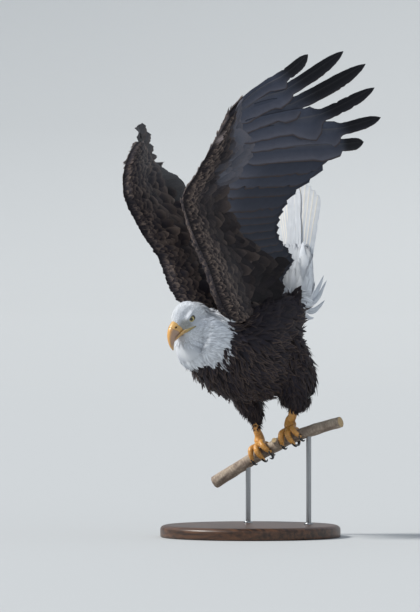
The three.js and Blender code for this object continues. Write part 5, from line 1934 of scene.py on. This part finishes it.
def talons():
    """Black claws that go on round the branch from the toes' ends."""
    share = np.linspace(-0.1, 1, 26)
    for side, foot in FEET.items():
        parts = []
        for i, toe in enumerate(TOES):
            last = TOE_TURN[toe][1]
            degrees = last + math.copysign(1, last) * (CLAW_SWEEP * share - 6)
            height = foot.grip + mix(1, -3.5, share) + 5 * np.sin(math.pi * share)
            path = foot.round(degrees, np.full(len(share), TOE_SLIDE[toe][1]), height)
            wide = CLAW_RADIUS * TOE_SIZE[toe] * np.maximum(1 - 0.86 * share, 0.1)
            high = CLAW_RADIUS * TOE_SIZE[toe] * np.maximum(1.15 - share, 0.13)
            rings = limb_rings(path, wide * 0.92, high, high, foot.along, 18)
            tone = mix(CLAW_BROWN, CLAW_BLACK, ease(share / 0.25)[:, None, None]) + 0 * rings
            parts.append(tube_part(from_perch(rings), tone, rings * MM, home=(0.125 + 0.25 * i, 0.5),
                                   patch=(0.24, 0.96)))
        build(f"talons_{side}", parts, "talon_horn", [f"claw_{toe}_{side}" for toe in TOES])


# ---- branch and stand ----

BARK_PALE = linear("#b3a594")
BARK_DARK = linear("#85766a")
CUT_WOOD = linear("#c8ad84")
RING_SIZE = np.array([0.95, 0.9, 0.74, 0.6, 0.42, 0.25, 0.08])  # growth rings on a sawn end, as shares
RING_SHADE = np.array([0.55, 1, 0.82, 1, 0.8, 1, 0.75])  # of its radius, and how light each is
STUB_LINE = [[6, -4, 4], [10, -14, 6], [15, -26, 10], [19, -38, 15]]
STUB_WIDE = [10, 8, 7, 6]


def bark_tube(path, up, ahead, radius, sides, seed, home, patch):
    """A branch's rings with lengthwise ridges, and growth rings on its sawn ends."""
    turn = -np.linspace(0, 2 * math.pi, sides, endpoint=False)[None, :, None]
    way = up[:, None] * np.cos(turn) + ahead[:, None] * np.sin(turn)
    length = np.concatenate([[0], np.cumsum(np.linalg.norm(np.diff(path, axis=0), axis=1))])[:, None, None]
    length = length + 0 * turn
    vane = np.concatenate([way * radius[:, None, None], length], -1)[..., 1:] * MM
    ridge = wander(np.concatenate([way * 0.02, length * 0.3 * MM], -1)[..., [0, 1, 3]], 0.004, seed)
    knots = wander(vane, 0.016, seed + 1)
    relief = 0.35 * ridge + 0.3 * knots
    rings = path[:, None] + way * (radius[:, None] + relief)[..., None]
    shade = np.clip(0.45 + 0.25 * ridge + 0.3 * knots, 0, 1)[..., None]
    colour = mix(BARK_DARK, BARK_PALE, shade)
    ends = []
    for end in (0, -1):
        loops = path[end] + (rings[end] - path[end]) * RING_SIZE[:, None, None]
        tones = RING_SHADE[:, None, None] * CUT_WOOD + 0 * loops
        ends.append((loops, tones, vane[end] * RING_SIZE[:, None, None]))
    first = [values[::-1] for values in ends[0]]
    rings, colour, vane = (np.concatenate(rows) for rows in zip(first, (rings, colour, vane), ends[1]))
    return tube_part(from_perch(rings), colour, vane, home=home, patch=patch)


def perch():
    """The sloping branch with its bark, and the stub of a side branch."""
    t = np.linspace(0, 1, 170)
    middle, _, up, ahead = perch_axes(t)
    branch = bark_tube(middle, up, ahead, perch_radius(t), 56, 91, (0.5, 0.3), (0.96, 0.56))
    path = through(STUB_LINE, np.linspace(0, 3, 30))
    tangent = unit(np.gradient(path, axis=0))
    side = unit(np.cross(tangent, (0.0, 0.0, 1.0)))
    radius = through(STUB_WIDE, np.linspace(0, 3, 30))
    stub = bark_tube(path, side, np.cross(tangent, side), radius, 32, 95, (0.5, 0.8), (0.9, 0.36))
    build("perch_branch", [branch, stub], "weathered_bark", ["perch"], sharp=50)


BASE_RADIUS, BASE_THICK, ROD_RADIUS, ROD_OFFSET = 215, 28, 6, 104
BEVEL_WIDE, BEVEL_HIGH = 15, 10  # the base's rounded upper edge
# a collar's outline from the base up: radius and height over the base
COLLAR = [(1, 0), (11, 0), (11, 2), (10.4, 3), (6.6, 3.6), (ROD_RADIUS, 4), (ROD_RADIUS, 32)]


def lathe(outline, centre, sides):
    """A turned body from (radius, height) pairs in millimetres, from the bottom to the top."""
    radius, height = np.array(outline, float).T
    turn = np.linspace(0, 2 * math.pi, sides, endpoint=False)
    rings = np.stack([
        radius[:, None] * np.cos(turn), -radius[:, None] * np.sin(turn), height[:, None] + 0 * turn,
    ], -1) * MM + centre
    return tube_part(rings, 0.5 + 0 * rings, rings)


def stand():
    """A turned walnut base and two steel rods that hold the branch."""
    edge, shoulder = BASE_RADIUS - BEVEL_WIDE, BASE_THICK - BEVEL_HIGH
    outline = [(1, 0), (140, 0), (BASE_RADIUS - 2, 0), (BASE_RADIUS - 0.5, 0.6), (BASE_RADIUS, 2),
               (BASE_RADIUS, 10)]
    for turn in np.radians(np.arange(90, -1, -10)):
        outline.append((edge + BEVEL_WIDE * math.sin(turn), shoulder + BEVEL_HIGH * math.cos(turn)))
    outline += [(radius, BASE_THICK) for radius in (196, 120, 60, 1)]
    build("display_base", [lathe(outline, 0, 160)], "oiled_walnut", ["stand_base"])
    for side, sign in SIDES.items():
        top = from_perch(perch_axes(perch_share(sign * ROD_OFFSET))[0])
        outline = [(radius, BASE_THICK + up) for radius, up in COLLAR]
        outline += [(ROD_RADIUS, top[2] / MM), (1, top[2] / MM)]
        build(f"display_rod_{side}", [lathe(outline, (top[0], top[1], 0), 40)], "satin_steel",
              [f"stand_rod_{side}"])


FLOOR_SIDES = 96
FLOOR_GREY = linear("#b9bcbe")
# the floor's outline from the middle out: radius and height in metres
FLOOR = [(0.3, -0.001), (2, -0.001), (8, -0.001), (16, 0), (23, 0.05), (27, 0.5), (29.5, 2),
         (30.5, 4.5), (30.8, 7)]


def stage():
    """A plain floor that curves up far away, so that the ground is even from every side."""
    turn = np.linspace(0, 2 * math.pi, FLOOR_SIDES, endpoint=False)
    radius, height = np.array(FLOOR).T
    rings = np.stack([
        radius[:, None] * np.cos(turn), radius[:, None] * np.sin(turn), height[:, None] + 0 * turn,
    ], -1)
    quads = grid_quads(len(FLOOR), FLOOR_SIDES)[0].tolist()
    mesh = bpy.data.meshes.new("studio_floor")
    mesh.from_pydata(rings.reshape(-1, 3).tolist(), [], quads + [list(range(FLOOR_SIDES))])
    mesh.shade_smooth()
    made, _, shader = new_material("studio_paint", Roughness=0.8)
    shader.inputs["Base Color"].default_value = (*FLOOR_GREY, 1)
    mesh.materials.append(made)
    placed("studio_floor", mesh)


stage()
make_camera()
make_lights()
bill()
gape()
eyes()
eyelids()
scutes()
talons()
perch()
stand()
head_feathers()
neck_hackles()
trunk_feathers()
leg_feathers()
tail_coverts()
wings()
tail_feathers()
